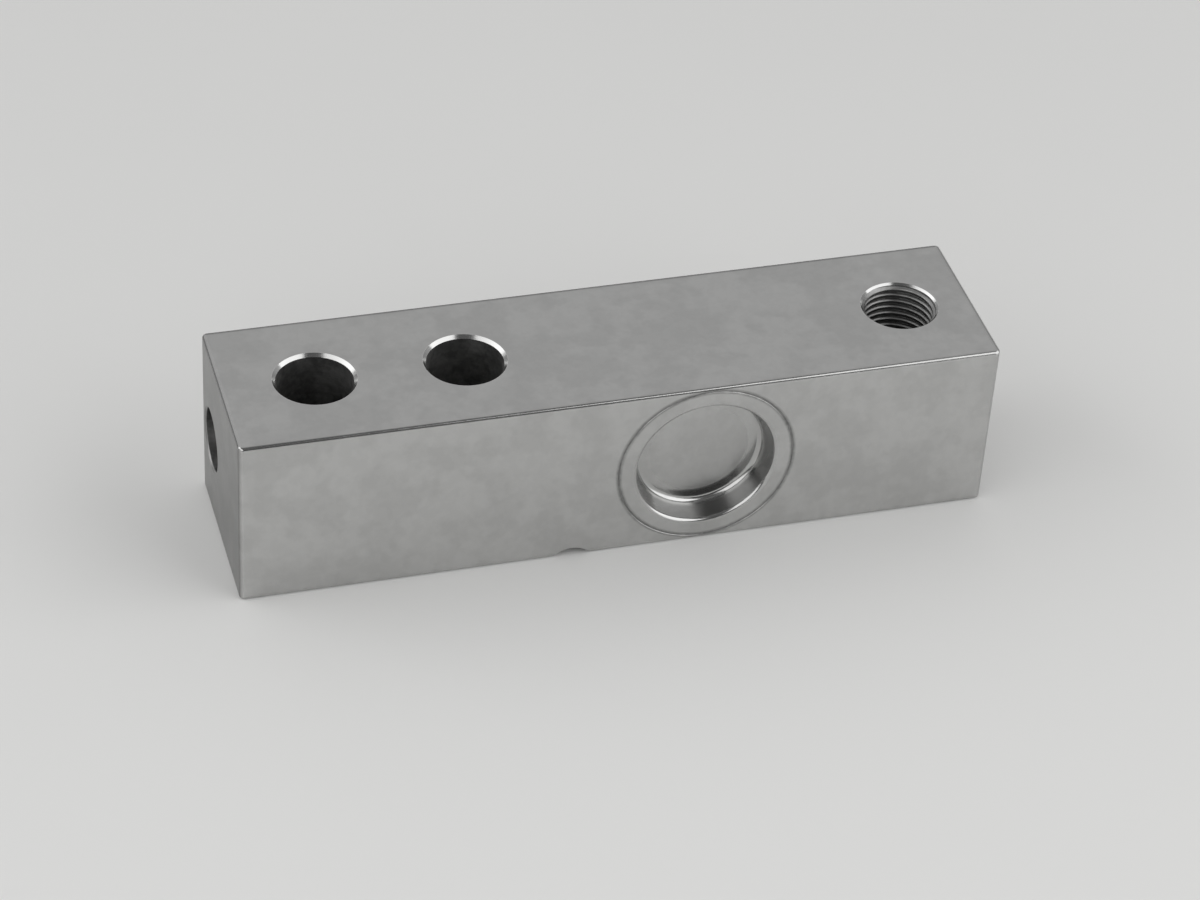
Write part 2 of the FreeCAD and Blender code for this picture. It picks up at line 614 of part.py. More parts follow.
def make_trim_resistors():
    """Four trim resistors, in two rows of two."""
    chips = new_body("trim_resistors", POCKET_BASE)
    plan = new_sketch(chips, "XZ_Plane", "TrimPlan", ("0", "0", "-Places.board_top"))
    for column in (-0.5, 0.5):
        for row in (0, 1):
            add_box(plan, f"{column} * (Sizes.trim_length + Sizes.trim_width / 2)",
                    f"{row} * Sizes.trim_step - Sizes.trim_width", "Sizes.trim_length", "Sizes.trim_width")
    add_feature(chips, "Pad", "Chips", plan, reverse=True, Length="Sizes.chip_height")
    return chips


def make_span_resistors():
    """Two larger resistors that correct the span with temperature."""
    chips = new_body("span_resistors", POCKET_BASE)
    plan = new_sketch(chips, "XZ_Plane", "SpanPlan", ("0", "0", "-Places.board_top"))
    for row in (0, 1):
        add_box(plan, "0", f"Sizes.span_lift + {row} * Sizes.span_step",
                "Sizes.span_length", "Sizes.span_width")
    add_feature(chips, "Pad", "Chips", plan, reverse=True, Length="Sizes.chip_height")
    return chips


# ---------------------------------------------------------------- cable inlet

GLAND_BASE = ("Places.mount_end", "Places.gland_y", "Places.gland_z")


def make_ring(label, start, thickness, outer, inner, outer_break="0", inner_break="0"):
    """A turned ring on the inlet's axis.  Depths run inwards from the end face; breaks are chamfers."""
    ring = new_body(label, GLAND_BASE)
    section = new_sketch(ring, "XY_Plane", "RingSection")
    end = f"({start}) + ({thickness})"
    corners = [(start, f"({inner}) + ({inner_break})"), (start, f"({outer}) - ({outer_break})")]
    if outer_break != "0":
        corners.append((f"({start}) + ({outer_break})", outer))
    corners.append((end, outer))
    if inner_break != "0":
        corners.append((end, f"({inner}) + ({inner_break})"))
        corners.append((f"({end}) - ({inner_break})", inner))
        corners.append((f"({start}) + ({inner_break})", inner))
    else:
        corners.append((end, inner))
    add_outline(section, corners)
    add_turned(ring, "Revolution", "Ring", section, "H_Axis")
    return ring


def make_gland_parts():
    """Gland ring, thrust washer, grommet and backing washer, stacked from the mouth inwards."""
    bore = "Sizes.gland_bore / 2"
    washer = (f"{bore} - Sizes.washer_gap", "Sizes.washer_bore / 2")
    depth = "Sizes.ring_recess"
    ring = make_ring("gland_ring", depth, "Sizes.ring_thickness", f"{bore} - Sizes.ring_gap",
                     "Sizes.ring_bore / 2", "Sizes.ring_break", "Sizes.ring_break")
    slot = new_sketch(ring, "YZ_Plane", "SpannerSlot", ("0", "0", depth))
    add_box(slot, "0", "0", "Sizes.gland_bore", "Sizes.spanner_slot")
    add_feature(ring, "Pocket", "SpannerCut", slot, reverse=True, Length="Sizes.spanner_depth")
    depth = f"{depth} + Sizes.ring_thickness"
    thrust = make_ring("thrust_washer", depth, "Sizes.washer_thickness", *washer)
    depth = f"{depth} + Sizes.washer_thickness"
    grommet = make_ring("cable_grommet", depth, "Sizes.grommet_thickness", f"{bore} - Sizes.grommet_gap",
                        "Sizes.grommet_bore / 2", "0", "Sizes.grommet_break")
    depth = f"{depth} + Sizes.grommet_thickness"
    backing = make_ring("backing_washer", depth, "Sizes.washer_thickness", *washer)
    return [ring, thrust, grommet, backing]


# ---------------------------------------------------------------- sealed header

HEADER_BASE = ("Places.header_seat - Sizes.header_length", "Places.wire_y", "Places.gland_z")
PIN_PLACES = tuple((f"{y} * Sizes.wire_pitch", f"{z} * Sizes.wire_pitch")
                   for y in (-0.5, 0.5) for z in (-0.5, 0.5))


def make_header():
    """Glass-to-metal header: shell, glass and four pins.  Its frame starts at the shell's outer end."""
    shell = new_body("header_shell", HEADER_BASE)
    rings = new_sketch(shell, "YZ_Plane", "ShellRings")
    add_circle(rings, "0", "0", "Sizes.header_bore")
    add_circle(rings, "0", "0", "Sizes.header_bore - 2 * Sizes.header_wall")
    add_feature(shell, "Pad", "Shell", rings, Length="Sizes.header_length")

    glass = new_body("header_glass", HEADER_BASE)
    disc = new_sketch(glass, "YZ_Plane", "GlassDisc", ("0", "0", "Sizes.glass_step"))
    add_circle(disc, "0", "0", "Sizes.header_bore - 2 * Sizes.header_wall")
    for across, up in PIN_PLACES:
        add_circle(disc, across, up, "Sizes.pin_diameter")
    add_feature(glass, "Pad", "Glass", disc, Length="Sizes.header_length - 2 * Sizes.glass_step")

    pins = new_body("header_pins", HEADER_BASE)
    rods = new_sketch(pins, "YZ_Plane", "PinCircles", ("0", "0", "-Sizes.pin_stand_out"))
    for across, up in PIN_PLACES:
        add_circle(rods, across, up, "Sizes.pin_diameter")
    add_feature(pins, "Pad", "Pins", rods,
                Length="Sizes.pin_stand_out + Sizes.header_length + Sizes.pin_stand_in")
    return [shell, glass, pins]


# ---------------------------------------------------------------- wires and leads

def mitred_run(points, mouth):
    """A section carried along straight runs with mitred corners: wires, leads and ribbons."""
    run = Part.makePolygon(points).makePipeShell([mouth], True, False, 1)
    expected = Part.makePolygon(points).Length * Part.Face(mouth).Area
    if abs(run.Volume - expected) > 0.01 * expected:
        raise RuntimeError("a lead lost volume along its path")
    return run


def round_mouth(points, diameter):
    """The circle that starts a wire or a lead, square to its first run."""
    return Part.Wire([Part.makeCircle(diameter / 2, points[0], points[1] - points[0])])


def add_solids(label, solids, turn=0):
    """A node of one or more solids made in a pocket's own frame."""
    feature = document.addObject("Part::Feature", label)
    feature.Label = label
    feature.Shape = solids[0] if len(solids) == 1 else Part.makeCompound(solids)
    feature.Placement = pocket_placement(turn)
    return feature


def make_wires():
    """Four wires from the header's pins along their drilling to the board's pads."""
    start = place("header_seat") + size("pin_stand_in") - place("pocket_x")
    mouth = place("wire_end") - place("pocket_x")
    pad = -size("wire_pad_side")
    base = number(WIRE_BASE_Z)
    half = size("wire_pitch") / 2
    rest = place("wire_rest")
    low = place("wire_y") - half
    high = place("wire_y") + half
    # colour, level in the drilling, side of the drilling, pad step
    routes = (("wire_red", high, -half, WIRE_STEPS[0]), ("wire_black", low, -half, WIRE_STEPS[1]),
              ("wire_green", low, half, WIRE_STEPS[2]), ("wire_white", high, half, WIRE_STEPS[3]))
    wires = []
    for label, level, side, step in routes:
        pad_z = base + step * size("wire_pad_pitch")
        points = [Vector(start, level, base + side),
                  Vector(mouth, level, base + side),
                  Vector(pad - size("wire_bend"), rest, pad_z),
                  Vector(pad + size("wire_pad") / 2, rest, pad_z)]
        wires.append(add_solids(label, [mitred_run(points, round_mouth(points, size("wire_diameter")))]))
    return wires


def make_gauge_leads(side, turn):
    """Three flat ribbons, each from a tab of the foil in a low arch to its terminal."""
    half_thick = size("ribbon_thickness") / 2
    tab_level = place("foil_seat") + size("foil_thickness") + half_thick
    terminal_level = place("terminal_top") + half_thick
    arch_level = terminal_level + size("ribbon_arch")
    tab_z = -size("tab_drop")
    edge_z = -size("strip_drop") + size("terminal_height") / 2
    ribbons = []
    for step in (-1, 0, 1):
        tab_x = step * size("tab_pitch")
        points = [Vector(tab_x, tab_level, tab_z), Vector(tab_x, tab_level, tab_z - size("tab_height") / 2),
                  Vector(tab_x, arch_level, edge_z + size("ribbon_arch")),
                  Vector(tab_x, terminal_level, edge_z - size("ribbon_arch")),
                  Vector(tab_x, terminal_level, edge_z - size("terminal_height") / 3)]
        half_wide = Vector(size("ribbon_width") / 2, 0, 0)
        rise = Vector(0, half_thick, 0)
        corners = [points[0] + across + up for across, up in (
            (-half_wide, -rise), (half_wide, -rise), (half_wide, rise), (-half_wide, rise))]
        ribbons.append(mitred_run(points, Part.makePolygon(corners + corners[:1])))
    return add_solids(f"{side}_gauge_leads", ribbons, turn)


def add_leads(label, paths):
    """A node of thin round leads, one for each path."""
    diameter = size("lead_diameter")
    return add_solids(label, [mitred_run(points, round_mouth(points, diameter)) for points in paths])


def make_rear_leads():
    """Three leads from the rear terminals up through the board's slot to its pads."""
    radius = size("lead_diameter") / 2
    terminal_level = place("terminal_top") + radius
    pad_level = place("board_top") + size("copper") + radius
    up_z = -(size("strip_drop") + size("lead_turn"))
    paths = []
    for step in (-1, 0, 1):
        across = step * size("terminal_pitch")
        paths.append([Vector(across, terminal_level, up_z + 1.5 * size("lead_turn")),
                      Vector(across, terminal_level, up_z), Vector(across, pad_level, up_z),
                      Vector(across, pad_level, -size("rear_pad_drop"))])
    return add_leads("rear_jumper_leads", paths)


def make_front_leads():
    """Three leads from the front terminals across the pocket and through the sleeve to the board."""
    radius = size("lead_diameter") / 2
    terminal_level = -(place("terminal_top") + radius)
    pad_level = place("board_top") + size("copper") + radius
    strip_z = -size("strip_drop")
    spread = size("lead_spread")
    passage = place("passage_side")
    paths = []
    for step, across, lift in ((1, spread / 2, -spread), (0, -spread / 2, 0), (-1, spread / 2, spread)):
        start_x = step * size("terminal_pitch")
        level = terminal_level - size("lead_rise") - (1 - step) * size("lead_step")
        turn_x = passage + across
        paths.append([Vector(start_x, terminal_level, strip_z - size("terminal_height") / 3),
                      Vector(start_x, terminal_level, strip_z),
                      Vector(start_x, level, strip_z + size("lead_turn")),
                      Vector(turn_x, level, lift),
                      Vector(turn_x, pad_level, lift),
                      Vector(size("front_pad_side"), pad_level, -step * size("front_pad_pitch"))])
    return add_leads("front_jumper_leads", paths)


# ---------------------------------------------------------------- build, check and write

nodes = [make_beam()]
for pocket_name, pocket_turn in POCKETS:
    nodes += [make(pocket_name, pocket_turn) for make in (
        make_cup, make_gauge_carrier, make_gauge_foil,
        make_terminal_strip, make_terminal_pads, make_gauge_leads)]
nodes += [make_sleeve(), make_board(), make_board_pads(), make_trim_resistors(), make_span_resistors()]
nodes += make_gland_parts() + make_header() + make_wires() + [make_rear_leads(), make_front_leads()]
document.recompute()

for item in document.Objects:
    if any(word in item.State for word in ("Invalid", "Error")):
        raise RuntimeError(f"{item.Label} failed: {item.State}")
    if item.TypeId in ("PartDesign::Pocket", "PartDesign::Groove"):
        if item.BaseFeature.Shape.Volume - item.Shape.Volume < 1e-3:
            raise RuntimeError(f"{item.Label} cut nothing")
for node in nodes:
    if node.Shape.isNull() or not node.Shape.isValid() or not node.Shape.Solids:
        raise RuntimeError(f"{node.Label} has no sound solid")

os.makedirs("parts", exist_ok=True)
for node in nodes:
    node.Shape.exportStep(f"parts/{node.Label}.step")
print(f"{len(nodes)} nodes, {sum(len(node.Shape.Solids) for node in nodes)} solids")
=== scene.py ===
"""Finishes of a single-ended shear-beam load cell, laid out as an add-on.

Satin plated steel for the beam and its pressed sealing cups, the thread in the load hole, the
seam welds round the cups, the cable inlet, and the sealed gauges, board and wiring, on a plain
pale stage.

Metres, in the row frame: +X to the loaded end, +Y to the rear side, +Z up, origin on the underside.
"""

import json
import math

import bpy
import numpy as np
from bpy.props import FloatProperty, FloatVectorProperty, IntProperty, PointerProperty
from mathutils import Matrix, Vector


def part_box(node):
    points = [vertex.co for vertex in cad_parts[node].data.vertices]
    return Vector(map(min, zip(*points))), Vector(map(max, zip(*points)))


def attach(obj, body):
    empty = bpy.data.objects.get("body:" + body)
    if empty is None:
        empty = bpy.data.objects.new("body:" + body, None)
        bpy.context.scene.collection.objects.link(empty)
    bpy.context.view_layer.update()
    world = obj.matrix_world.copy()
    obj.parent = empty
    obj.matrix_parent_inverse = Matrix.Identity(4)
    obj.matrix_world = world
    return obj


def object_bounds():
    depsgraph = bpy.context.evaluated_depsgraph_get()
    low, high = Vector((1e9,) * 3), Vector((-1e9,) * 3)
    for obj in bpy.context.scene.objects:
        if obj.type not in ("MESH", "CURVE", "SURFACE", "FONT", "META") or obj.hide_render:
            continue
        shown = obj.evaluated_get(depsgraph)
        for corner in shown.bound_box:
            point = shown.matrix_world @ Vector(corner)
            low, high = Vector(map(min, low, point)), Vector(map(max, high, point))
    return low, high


bl_info = {
    "name": "Shear Beam Load Cell",
    "version": (1, 0, 0),
    "blender": (4, 5, 0),
    "location": "3D View > Sidebar > Load Cell",
    "description": "Finishes, thread, seam welds and stage for a single-ended shear-beam load cell",
    "category": "Object",
}

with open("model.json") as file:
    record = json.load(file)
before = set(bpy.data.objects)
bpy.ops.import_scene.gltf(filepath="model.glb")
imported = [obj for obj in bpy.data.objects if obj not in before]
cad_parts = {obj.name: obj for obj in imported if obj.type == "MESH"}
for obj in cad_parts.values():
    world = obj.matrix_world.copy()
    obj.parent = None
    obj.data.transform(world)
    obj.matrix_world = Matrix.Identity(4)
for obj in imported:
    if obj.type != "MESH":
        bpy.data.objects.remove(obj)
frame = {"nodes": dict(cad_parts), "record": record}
CAD_LOW, CAD_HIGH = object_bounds()

MOUNTS = {mount["name"]: mount for mount in frame["record"]["mounts"]}
NODE_SLOTS = {part["node"]: part["material_slot"] for part in frame["record"]["subparts"]}
MM = 0.001


def mount_size(mount, name):
    """A size of a mount, in metres."""
    return MOUNTS[mount]["dims"][name] * MM


def middle_of(node):
    """The middle of a CAD node's box."""
    low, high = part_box(node)
    return (low + high) / 2


# ---------------------------------------------------------------- settings

class SteelSettings(bpy.types.PropertyGroup):
    """The plated steel of the beam, its cups and its inlet parts."""
    colour: FloatVectorProperty(
        name="Steel", description="Satin plating on the beam", subtype="COLOR", size=3,
        min=0, max=1, default=(0.43, 0.43, 0.425))
    cut_colour: FloatVectorProperty(
        name="Cut metal", description="Chamfers of the holes", subtype="COLOR", size=3,
        min=0, max=1, default=(0.56, 0.56, 0.555))
    bore_colour: FloatVectorProperty(
        name="Drilled walls", description="Walls of the drilled holes", subtype="COLOR", size=3,
        min=0, max=1, default=(0.42, 0.42, 0.415))
    roughness: FloatProperty(
        name="Roughness", description="Roughness of the satin plating", min=0, max=1, default=0.36)
    cut_roughness: FloatProperty(
        name="Cut roughness", description="Roughness of chamfers, rounded edges and drawn bends",
        min=0, max=1, default=0.17)
    # Painted shade: the end faces are darkened against the top, as less light falls on them.
    end_shade: FloatProperty(
        name="End faces", description="Shade of the milled end faces against the top", min=0, max=2,
        default=0.66)
    # Painted light: the side faces and both cups are lightened against the top, as more light falls
    # on them.
    side_shade: FloatProperty(
        name="Side faces", min=0, max=2, default=1.24,
        description="Shade of the ground side faces and the cups against the top")
    blotch: FloatProperty(
        name="Blotches", description="How far the plating's shade wanders, as a share",
        min=0, max=0.5, default=0.055)
    blotch_size: FloatProperty(
        name="Blotch size", description="Size of a soft patch in the plating", unit="LENGTH",
        min=0.001, default=5 * MM)
    grain_size: FloatProperty(
        name="Grain size", description="Size of the blasted grain", unit="LENGTH", min=0.00005,
        default=0.16 * MM)
    bolt_chamfer: FloatProperty(
        name="Bolt chamfer", description="Chamfer at both ends of a mounting hole", unit="LENGTH",
        min=0, default=0.55 * MM)
    ring_pitch: FloatProperty(
        name="Ring pitch", description="Width of a ring left by the drill in an upright hole",
        unit="LENGTH", min=0.00005, default=0.4 * MM)
    # Painted shade: the inlet's wall is darkened, as shade falls inside the hole.
    inlet_shade: FloatProperty(
        name="Inlet shade", description="Shade of the inlet's wall against the other drilled walls",
        min=0, max=2, default=0.5)
    bore_roughness: FloatProperty(
        name="Bore roughness", description="Roughness of the drilled walls", min=0, max=1,
        default=0.42)
    edge_width: FloatProperty(
        name="Edge width", description="Width of the smoother, broken band along the beam's edges",
        unit="LENGTH", min=0.0001, default=0.9 * MM)
    edge_middle: FloatProperty(
        name="Edge middle", unit="LENGTH", min=0, default=0.13 * MM,
        description="Half the width of the rounded edge's own top within that band")
    thread_shade: FloatProperty(
        name="Thread shade", description="Shade of the cut thread against the plating",
        min=0, max=2, default=0.7)
    weld_shade: FloatProperty(
        name="Weld shade", description="Shade of the weld bead against the plating", min=0, max=2,
        default=0.6)


class ThreadSettings(bpy.types.PropertyGroup):
    """The ridge of the fine inch thread in the load hole."""
    pitch: FloatProperty(
        name="Pitch", description="Rise of the thread in one turn, a twentieth of an inch",
        unit="LENGTH", min=0.0002, default=1.27 * MM)
    chamfer: FloatProperty(
        name="Chamfer", description="Chamfer at both ends of the hole", unit="LENGTH", min=0,
        default=0.35 * MM)
    engaged: FloatProperty(
        name="Engaged share", min=0.3, max=1, default=0.75,
        description="Height of the tapped ridge as a share of the full thread")
    steps: IntProperty(
        name="Steps", description="Steps of the ridge in one turn", min=12, max=256, default=72)


class CupSettings(bpy.types.PropertyGroup):
    """A sealing cup's rings, all measured from its axis, and the weld in the groove round it."""
    pole_radius: FloatProperty(
        name="Pole radius", description="Middle of the floor's crown, shaded by its facets",
        unit="LENGTH", default=2.2 * MM)
    crown_radius: FloatProperty(
        name="Crown radius", description="Edge of the floor's satin middle", unit="LENGTH",
        default=8.3 * MM)
    foot_radius: FloatProperty(
        name="Foot radius", description="Where the wall stands on the floor's bend", unit="LENGTH",
        default=11.2 * MM)
    mouth_radius: FloatProperty(
        name="Mouth radius", description="Where the wall meets the lip's bend", unit="LENGTH",
        default=12.1 * MM)
    # Painted shade: the cup's wall is darkened, where shade falls inside the cup.
    wall_shade: FloatProperty(
        name="Wall shade", description="Shade of the drawn wall against the satin sheet",
        min=0, max=2, default=0.58)
    rim_radius: FloatProperty(
        name="Rim radius", description="Where the lip's bend meets the flat flange", unit="LENGTH",
        default=12.8 * MM)
    groove_radius: FloatProperty(
        name="Groove radius", description="Middle of the welded groove", unit="LENGTH",
        default=15.2 * MM)
    bead_half_width: FloatProperty(
        name="Bead half width", description="Half the width of the weld bead", unit="LENGTH",
        default=0.17 * MM)
    bead_sink: FloatProperty(
        name="Bead sink", description="How far the bead's crown lies below the side face",
        unit="LENGTH", default=0.07 * MM)
    ripple_pitch: FloatProperty(
        name="Ripple pitch", description="Distance between two ripples of the bead", unit="LENGTH",
        default=0.42 * MM)
    tint_width: FloatProperty(
        name="Tint width", description="How far the weld's heat has dulled the steel on each side",
        unit="LENGTH", default=0.7 * MM)
    tint: FloatProperty(
        name="Tint", description="How much that band is darkened", min=0, max=1, default=0.45)


class ViewSettings(bpy.types.PropertyGroup):
    """Where the camera stands, about the middle of the beam."""
    azimuth: FloatProperty(
        name="Azimuth", description="Angle round the beam, 0 in front of its near side",
        subtype="ANGLE", default=math.radians(-17.933))
    elevation: FloatProperty(
        name="Elevation", description="Angle above the floor", subtype="ANGLE",
        default=math.radians(38.423))
    roll: FloatProperty(
        name="Roll", description="Turn of the camera about its own axis", subtype="ANGLE",
        default=math.radians(3.848))
    distance: FloatProperty(
        name="Distance", description="From the middle of the beam", unit="LENGTH",
        default=622.208 * MM)
    across: FloatProperty(
        name="Across", description="How far the beam's middle lies right of the view's middle",
        unit="LENGTH", default=-0.179 * MM)
    up: FloatProperty(
        name="Up", description="How far the beam's middle lies above the view's middle",
        unit="LENGTH", default=5.549 * MM)
    lens: FloatProperty(name="Lens", description="Focal length in millimetres", default=109.99)


class StageSettings(bpy.types.PropertyGroup):
    """The pale floor, two softboxes and the dim surround."""
    floor_colour: FloatVectorProperty(
        name="Floor", description="Colour of the floor", subtype="COLOR", size=3, min=0, max=1,
        default=(0.80, 0.80, 0.79))
    floor_side: FloatProperty(
        name="Floor side", description="Length of the floor's side", unit="LENGTH", default=5.0)
    lamp_distance: FloatProperty(
        name="Lamp distance", description="From the beam to a softbox", unit="LENGTH", default=0.9)
    lamp_power: FloatProperty(
        name="Lamp power", description="Watts for each square metre of softbox", default=5.4)
    bright_sky: FloatProperty(
        name="Bright surround", description="Strength of the surround behind the beam",
        default=0.72)
    dim_sky: FloatProperty(
        name="Dim surround", description="Strength of the surround in front of the beam",
        default=0.12)
    low_sky: FloatProperty(
        name="Low surround", description="Share of the surround's strength left at the horizon",
        default=0.45)


SETTINGS = {
    "load_cell_steel": SteelSettings,
    "load_cell_thread": ThreadSettings,
    "load_cell_cup": CupSettings,
    "load_cell_view": ViewSettings,
    "load_cell_stage": StageSettings,
}


# ---------------------------------------------------------------- laying out nodes

def connect(tree, socket, value):
    """Link another node's output to a socket, or set the socket's own value."""
    if isinstance(value, bpy.types.NodeSocket):
        tree.links.new(value, socket)
    else:
        socket.default_value = value


def put(tree, kind, output=0, settings=None, **inputs):
    """Add a node and return one of its outputs; inputs are named as on it, with _ for a space."""
    node = tree.nodes.new(kind)
    for name, value in (settings or {}).items():
        setattr(node, name, value)
    for name, value in inputs.items():
        connect(tree, node.inputs[name.replace("_", " ")], value)
    return node.outputs[output]


def calc(tree, operation, *values):
    """A Math node."""
    node = tree.nodes.new("ShaderNodeMath")
    node.operation = operation
    for socket, value in zip(node.inputs, values):
        connect(tree, socket, value)
    return node.outputs[0]


def vector_calc(tree, operation, *values):
    """A Vector Math node; Scale takes its factor as the second value."""
    node = tree.nodes.new("ShaderNodeVectorMath")
    node.operation = operation
    if operation == "SCALE":
        connect(tree, node.inputs["Vector"], values[0])
        connect(tree, node.inputs["Scale"], values[1])
    else:
        for socket, value in zip(node.inputs, values):
            connect(tree, socket, value)
    return node.outputs["Value" if operation in ("LENGTH", "DOT_PRODUCT", "DISTANCE") else "Vector"]


def remap(tree, value, low, high, to_low=0.0, to_high=1.0):
    """Map a range smoothly to another, held at both ends."""
    return put(tree, "ShaderNodeMapRange", 0, {"interpolation_type": "SMOOTHSTEP"},
               Value=value, From_Min=low, From_Max=high, To_Min=to_low, To_Max=to_high)


# Where a Mix node has its A, its B and its result, by the kind of thing that it mixes.
MIX_SOCKETS = {"FLOAT": (2, 3, 0), "VECTOR": (4, 5, 1), "RGBA": (6, 7, 2)}


def mix(tree, kind, factor, first, second):
    """A Mix node of a kind of MIX_SOCKETS: first where the factor is 0, second where it is 1."""
    node = tree.nodes.new("ShaderNodeMix")
    node.data_type = kind
    first_at, second_at, result_at = MIX_SOCKETS[kind]
    for index, value in ((0, factor), (first_at, first), (second_at, second)):
        connect(tree, node.inputs[index], value)
    return node.outputs[result_at]


def mix_value(tree, factor, first, second):
    """Mix two numbers."""
    return mix(tree, "FLOAT", factor, first, second)


def mix_vector(tree, factor, first, second):
    """Mix two vectors."""
    return mix(tree, "VECTOR", factor, first, second)


def mix_colour(tree, factor, first, second):
    """Mix two colours; a plain one is given as three numbers."""
    first, second = ((*colour, 1.0) if isinstance(colour, tuple) else colour
                     for colour in (first, second))
    return mix(tree, "RGBA", factor, first, second)


def shade_colour(tree, colour, shade):
    """A colour made lighter or darker by a factor."""
    return vector_calc(tree, "SCALE", colour, shade)


def parts_of(tree, vector):
    """The X, Y and Z of a vector."""
    node = tree.nodes.new("ShaderNodeSeparateXYZ")
    connect(tree, node.inputs[0], vector)
    return node.outputs


def join(tree, x, y, z):
    """A vector from its X, Y and Z."""
    return put(tree, "ShaderNodeCombineXYZ", 0, None, X=x, Y=y, Z=z)


def reach_of(tree, vector):
    """Distance from the Z axis."""
    return vector_calc(tree, "LENGTH", vector_calc(tree, "MULTIPLY", vector, (1.0, 1.0, 0.0)))


def noise(tree, vector, scale=1.0, detail=2.0, roughness=0.6):
    """A smooth noise about 0.5."""
    return put(tree, "ShaderNodeTexNoise", "Fac", None,
               Vector=vector, Scale=scale, Detail=detail, Roughness=roughness)


def spread(tree, height, low, high):
    """Map the middle of a noise or a height, where most of it lies, to a range."""
    return remap(tree, height, 0.3, 0.7, low, high)


# ---------------------------------------------------------------- shared effects

FLOAT, VECTOR = "NodeSocketFloat", "NodeSocketVector"
LEVEL = 0.5                 # a height from 0 to 1 that leaves the surface level


def new_group(name, inputs, output):
    """An empty shader group with named sockets; returns its tree, its input sockets and a closer.

    inputs maps each name to its default, a number or three numbers.
    """
    tree = bpy.data.node_groups.new(name, "ShaderNodeTree")
    for label, default in inputs.items():
        kind = VECTOR if isinstance(default, tuple) else FLOAT
        tree.interface.new_socket(label, in_out="INPUT", socket_type=kind).default_value = default
    tree.interface.new_socket(output, in_out="OUTPUT", socket_type=FLOAT)
    entry = tree.nodes.new("NodeGroupInput").outputs
    exit_socket = tree.nodes.new("NodeGroupOutput").inputs[output]
    return tree, entry, lambda value: tree.links.new(value, exit_socket)


FINE_SHARE = 0.35           # how much of a blotch is the finer noise


def blotches():
    """Shade: soft patches in a plating, about 1, from a coarse and a finer noise."""
    tree, given, close = new_group(
        "Blotches", {"Vector": (0, 0, 0), "Size": 5 * MM, "Contrast": 0.05}, "Shade")
    spot = vector_calc(tree, "SCALE", given["Vector"], calc(tree, "DIVIDE", 1.0, given["Size"]))
    coarse = noise(tree, spot, scale=0.7, detail=3.0, roughness=0.55)
    coarse = remap(tree, coarse, 0.42, 0.58, -1.0, 1.0)
    fine = remap(tree, noise(tree, spot, scale=2.6, detail=3.0), 0.4, 0.6, -1.0, 1.0)
    mixed = mix_value(tree, FINE_SHARE, coarse, fine)
    close(calc(tree, "MULTIPLY_ADD", mixed, given["Contrast"], 1.0))
    return tree


def grain():
    """Height from 0 to 1: a fine grain of one size, drawn out along the axes by Stretch."""
    tree, given, close = new_group(
        "Grain", {"Vector": (0, 0, 0), "Size": 0.2 * MM, "Stretch": (1.0, 1.0, 1.0)}, "Height")
    drawn = vector_calc(tree, "DIVIDE", given["Vector"], given["Stretch"])
    spot = vector_calc(tree, "SCALE", drawn, calc(tree, "DIVIDE", 1.0, given["Size"]))
    close(noise(tree, spot, roughness=0.55))
    return tree


def box_edges():
    """Mask: 1 nearer than Inner to an edge of a box, falling to 0 at Width.

    On the box's surface the largest of the three distances past its faces is 0, and the second
    largest is minus the distance to the nearest edge.
    """
    tree, given, close = new_group(
        "Box Edges", {"Vector": (0, 0, 0), "Centre": (0, 0, 0), "Half Size": (1.0, 1.0, 1.0),
                      "Inner": 0.0, "Width": 1 * MM}, "Mask")
    offset = vector_calc(tree, "SUBTRACT", given["Vector"], given["Centre"])
    offset = vector_calc(tree, "ABSOLUTE", offset)
    x, y, z = parts_of(tree, vector_calc(tree, "SUBTRACT", offset, given["Half Size"]))
    largest = calc(tree, "MAXIMUM", calc(tree, "MAXIMUM", x, y), z)
    smallest = calc(tree, "MINIMUM", calc(tree, "MINIMUM", x, y), z)
    total = calc(tree, "ADD", calc(tree, "ADD", x, y), z)
    second = calc(tree, "SUBTRACT", calc(tree, "SUBTRACT", total, largest), smallest)
    close(remap(tree, second, calc(tree, "MULTIPLY", given["Width"], -1.0),
                calc(tree, "MULTIPLY", given["Inner"], -1.0)))
    return tree


def inside_bore():
    """Mask: 1 within Radius of an axis along Z through Centre, falling to 0 over Softness."""
    tree, given, close = new_group(
        "Inside Bore", {"Vector": (0, 0, 0), "Centre": (0, 0, 0), "Radius": 6 * MM,
                        "Softness": 0.1 * MM}, "Mask")
    reach = reach_of(tree, vector_calc(tree, "SUBTRACT", given["Vector"], given["Centre"]))
    outer = calc(tree, "ADD", given["Radius"], given["Softness"])
    close(remap(tree, reach, given["Radius"], outer, 1.0, 0.0))
    return tree


def turning_marks():
    """Height from 0 to 1: rings left by a tool round an axis along Z, each about Pitch wide.

    A noise reads the distance from the axis and the height along it, and only a little of the
    angle.  From the 24th ring inwards they fade out, where they would draw together to a point.
    """
    tree, given, close = new_group(
        "Turning Marks", {"Vector": (0, 0, 0), "Pitch": 0.2 * MM}, "Height")
    x, y, z = parts_of(tree, given["Vector"])
    reach = reach_of(tree, given["Vector"])
    angle = calc(tree, "ARCTAN2", y, x)
    rings = calc(tree, "DIVIDE", reach, given["Pitch"])
    turns = calc(tree, "DIVIDE", z, given["Pitch"])
    wander = calc(tree, "MULTIPLY", calc(tree, "COSINE", angle), 0.5)
    marks = noise(tree, join(tree, rings, turns, wander))
    close(mix_value(tree, remap(tree, rings, 8.0, 24.0), LEVEL, marks))
    return tree


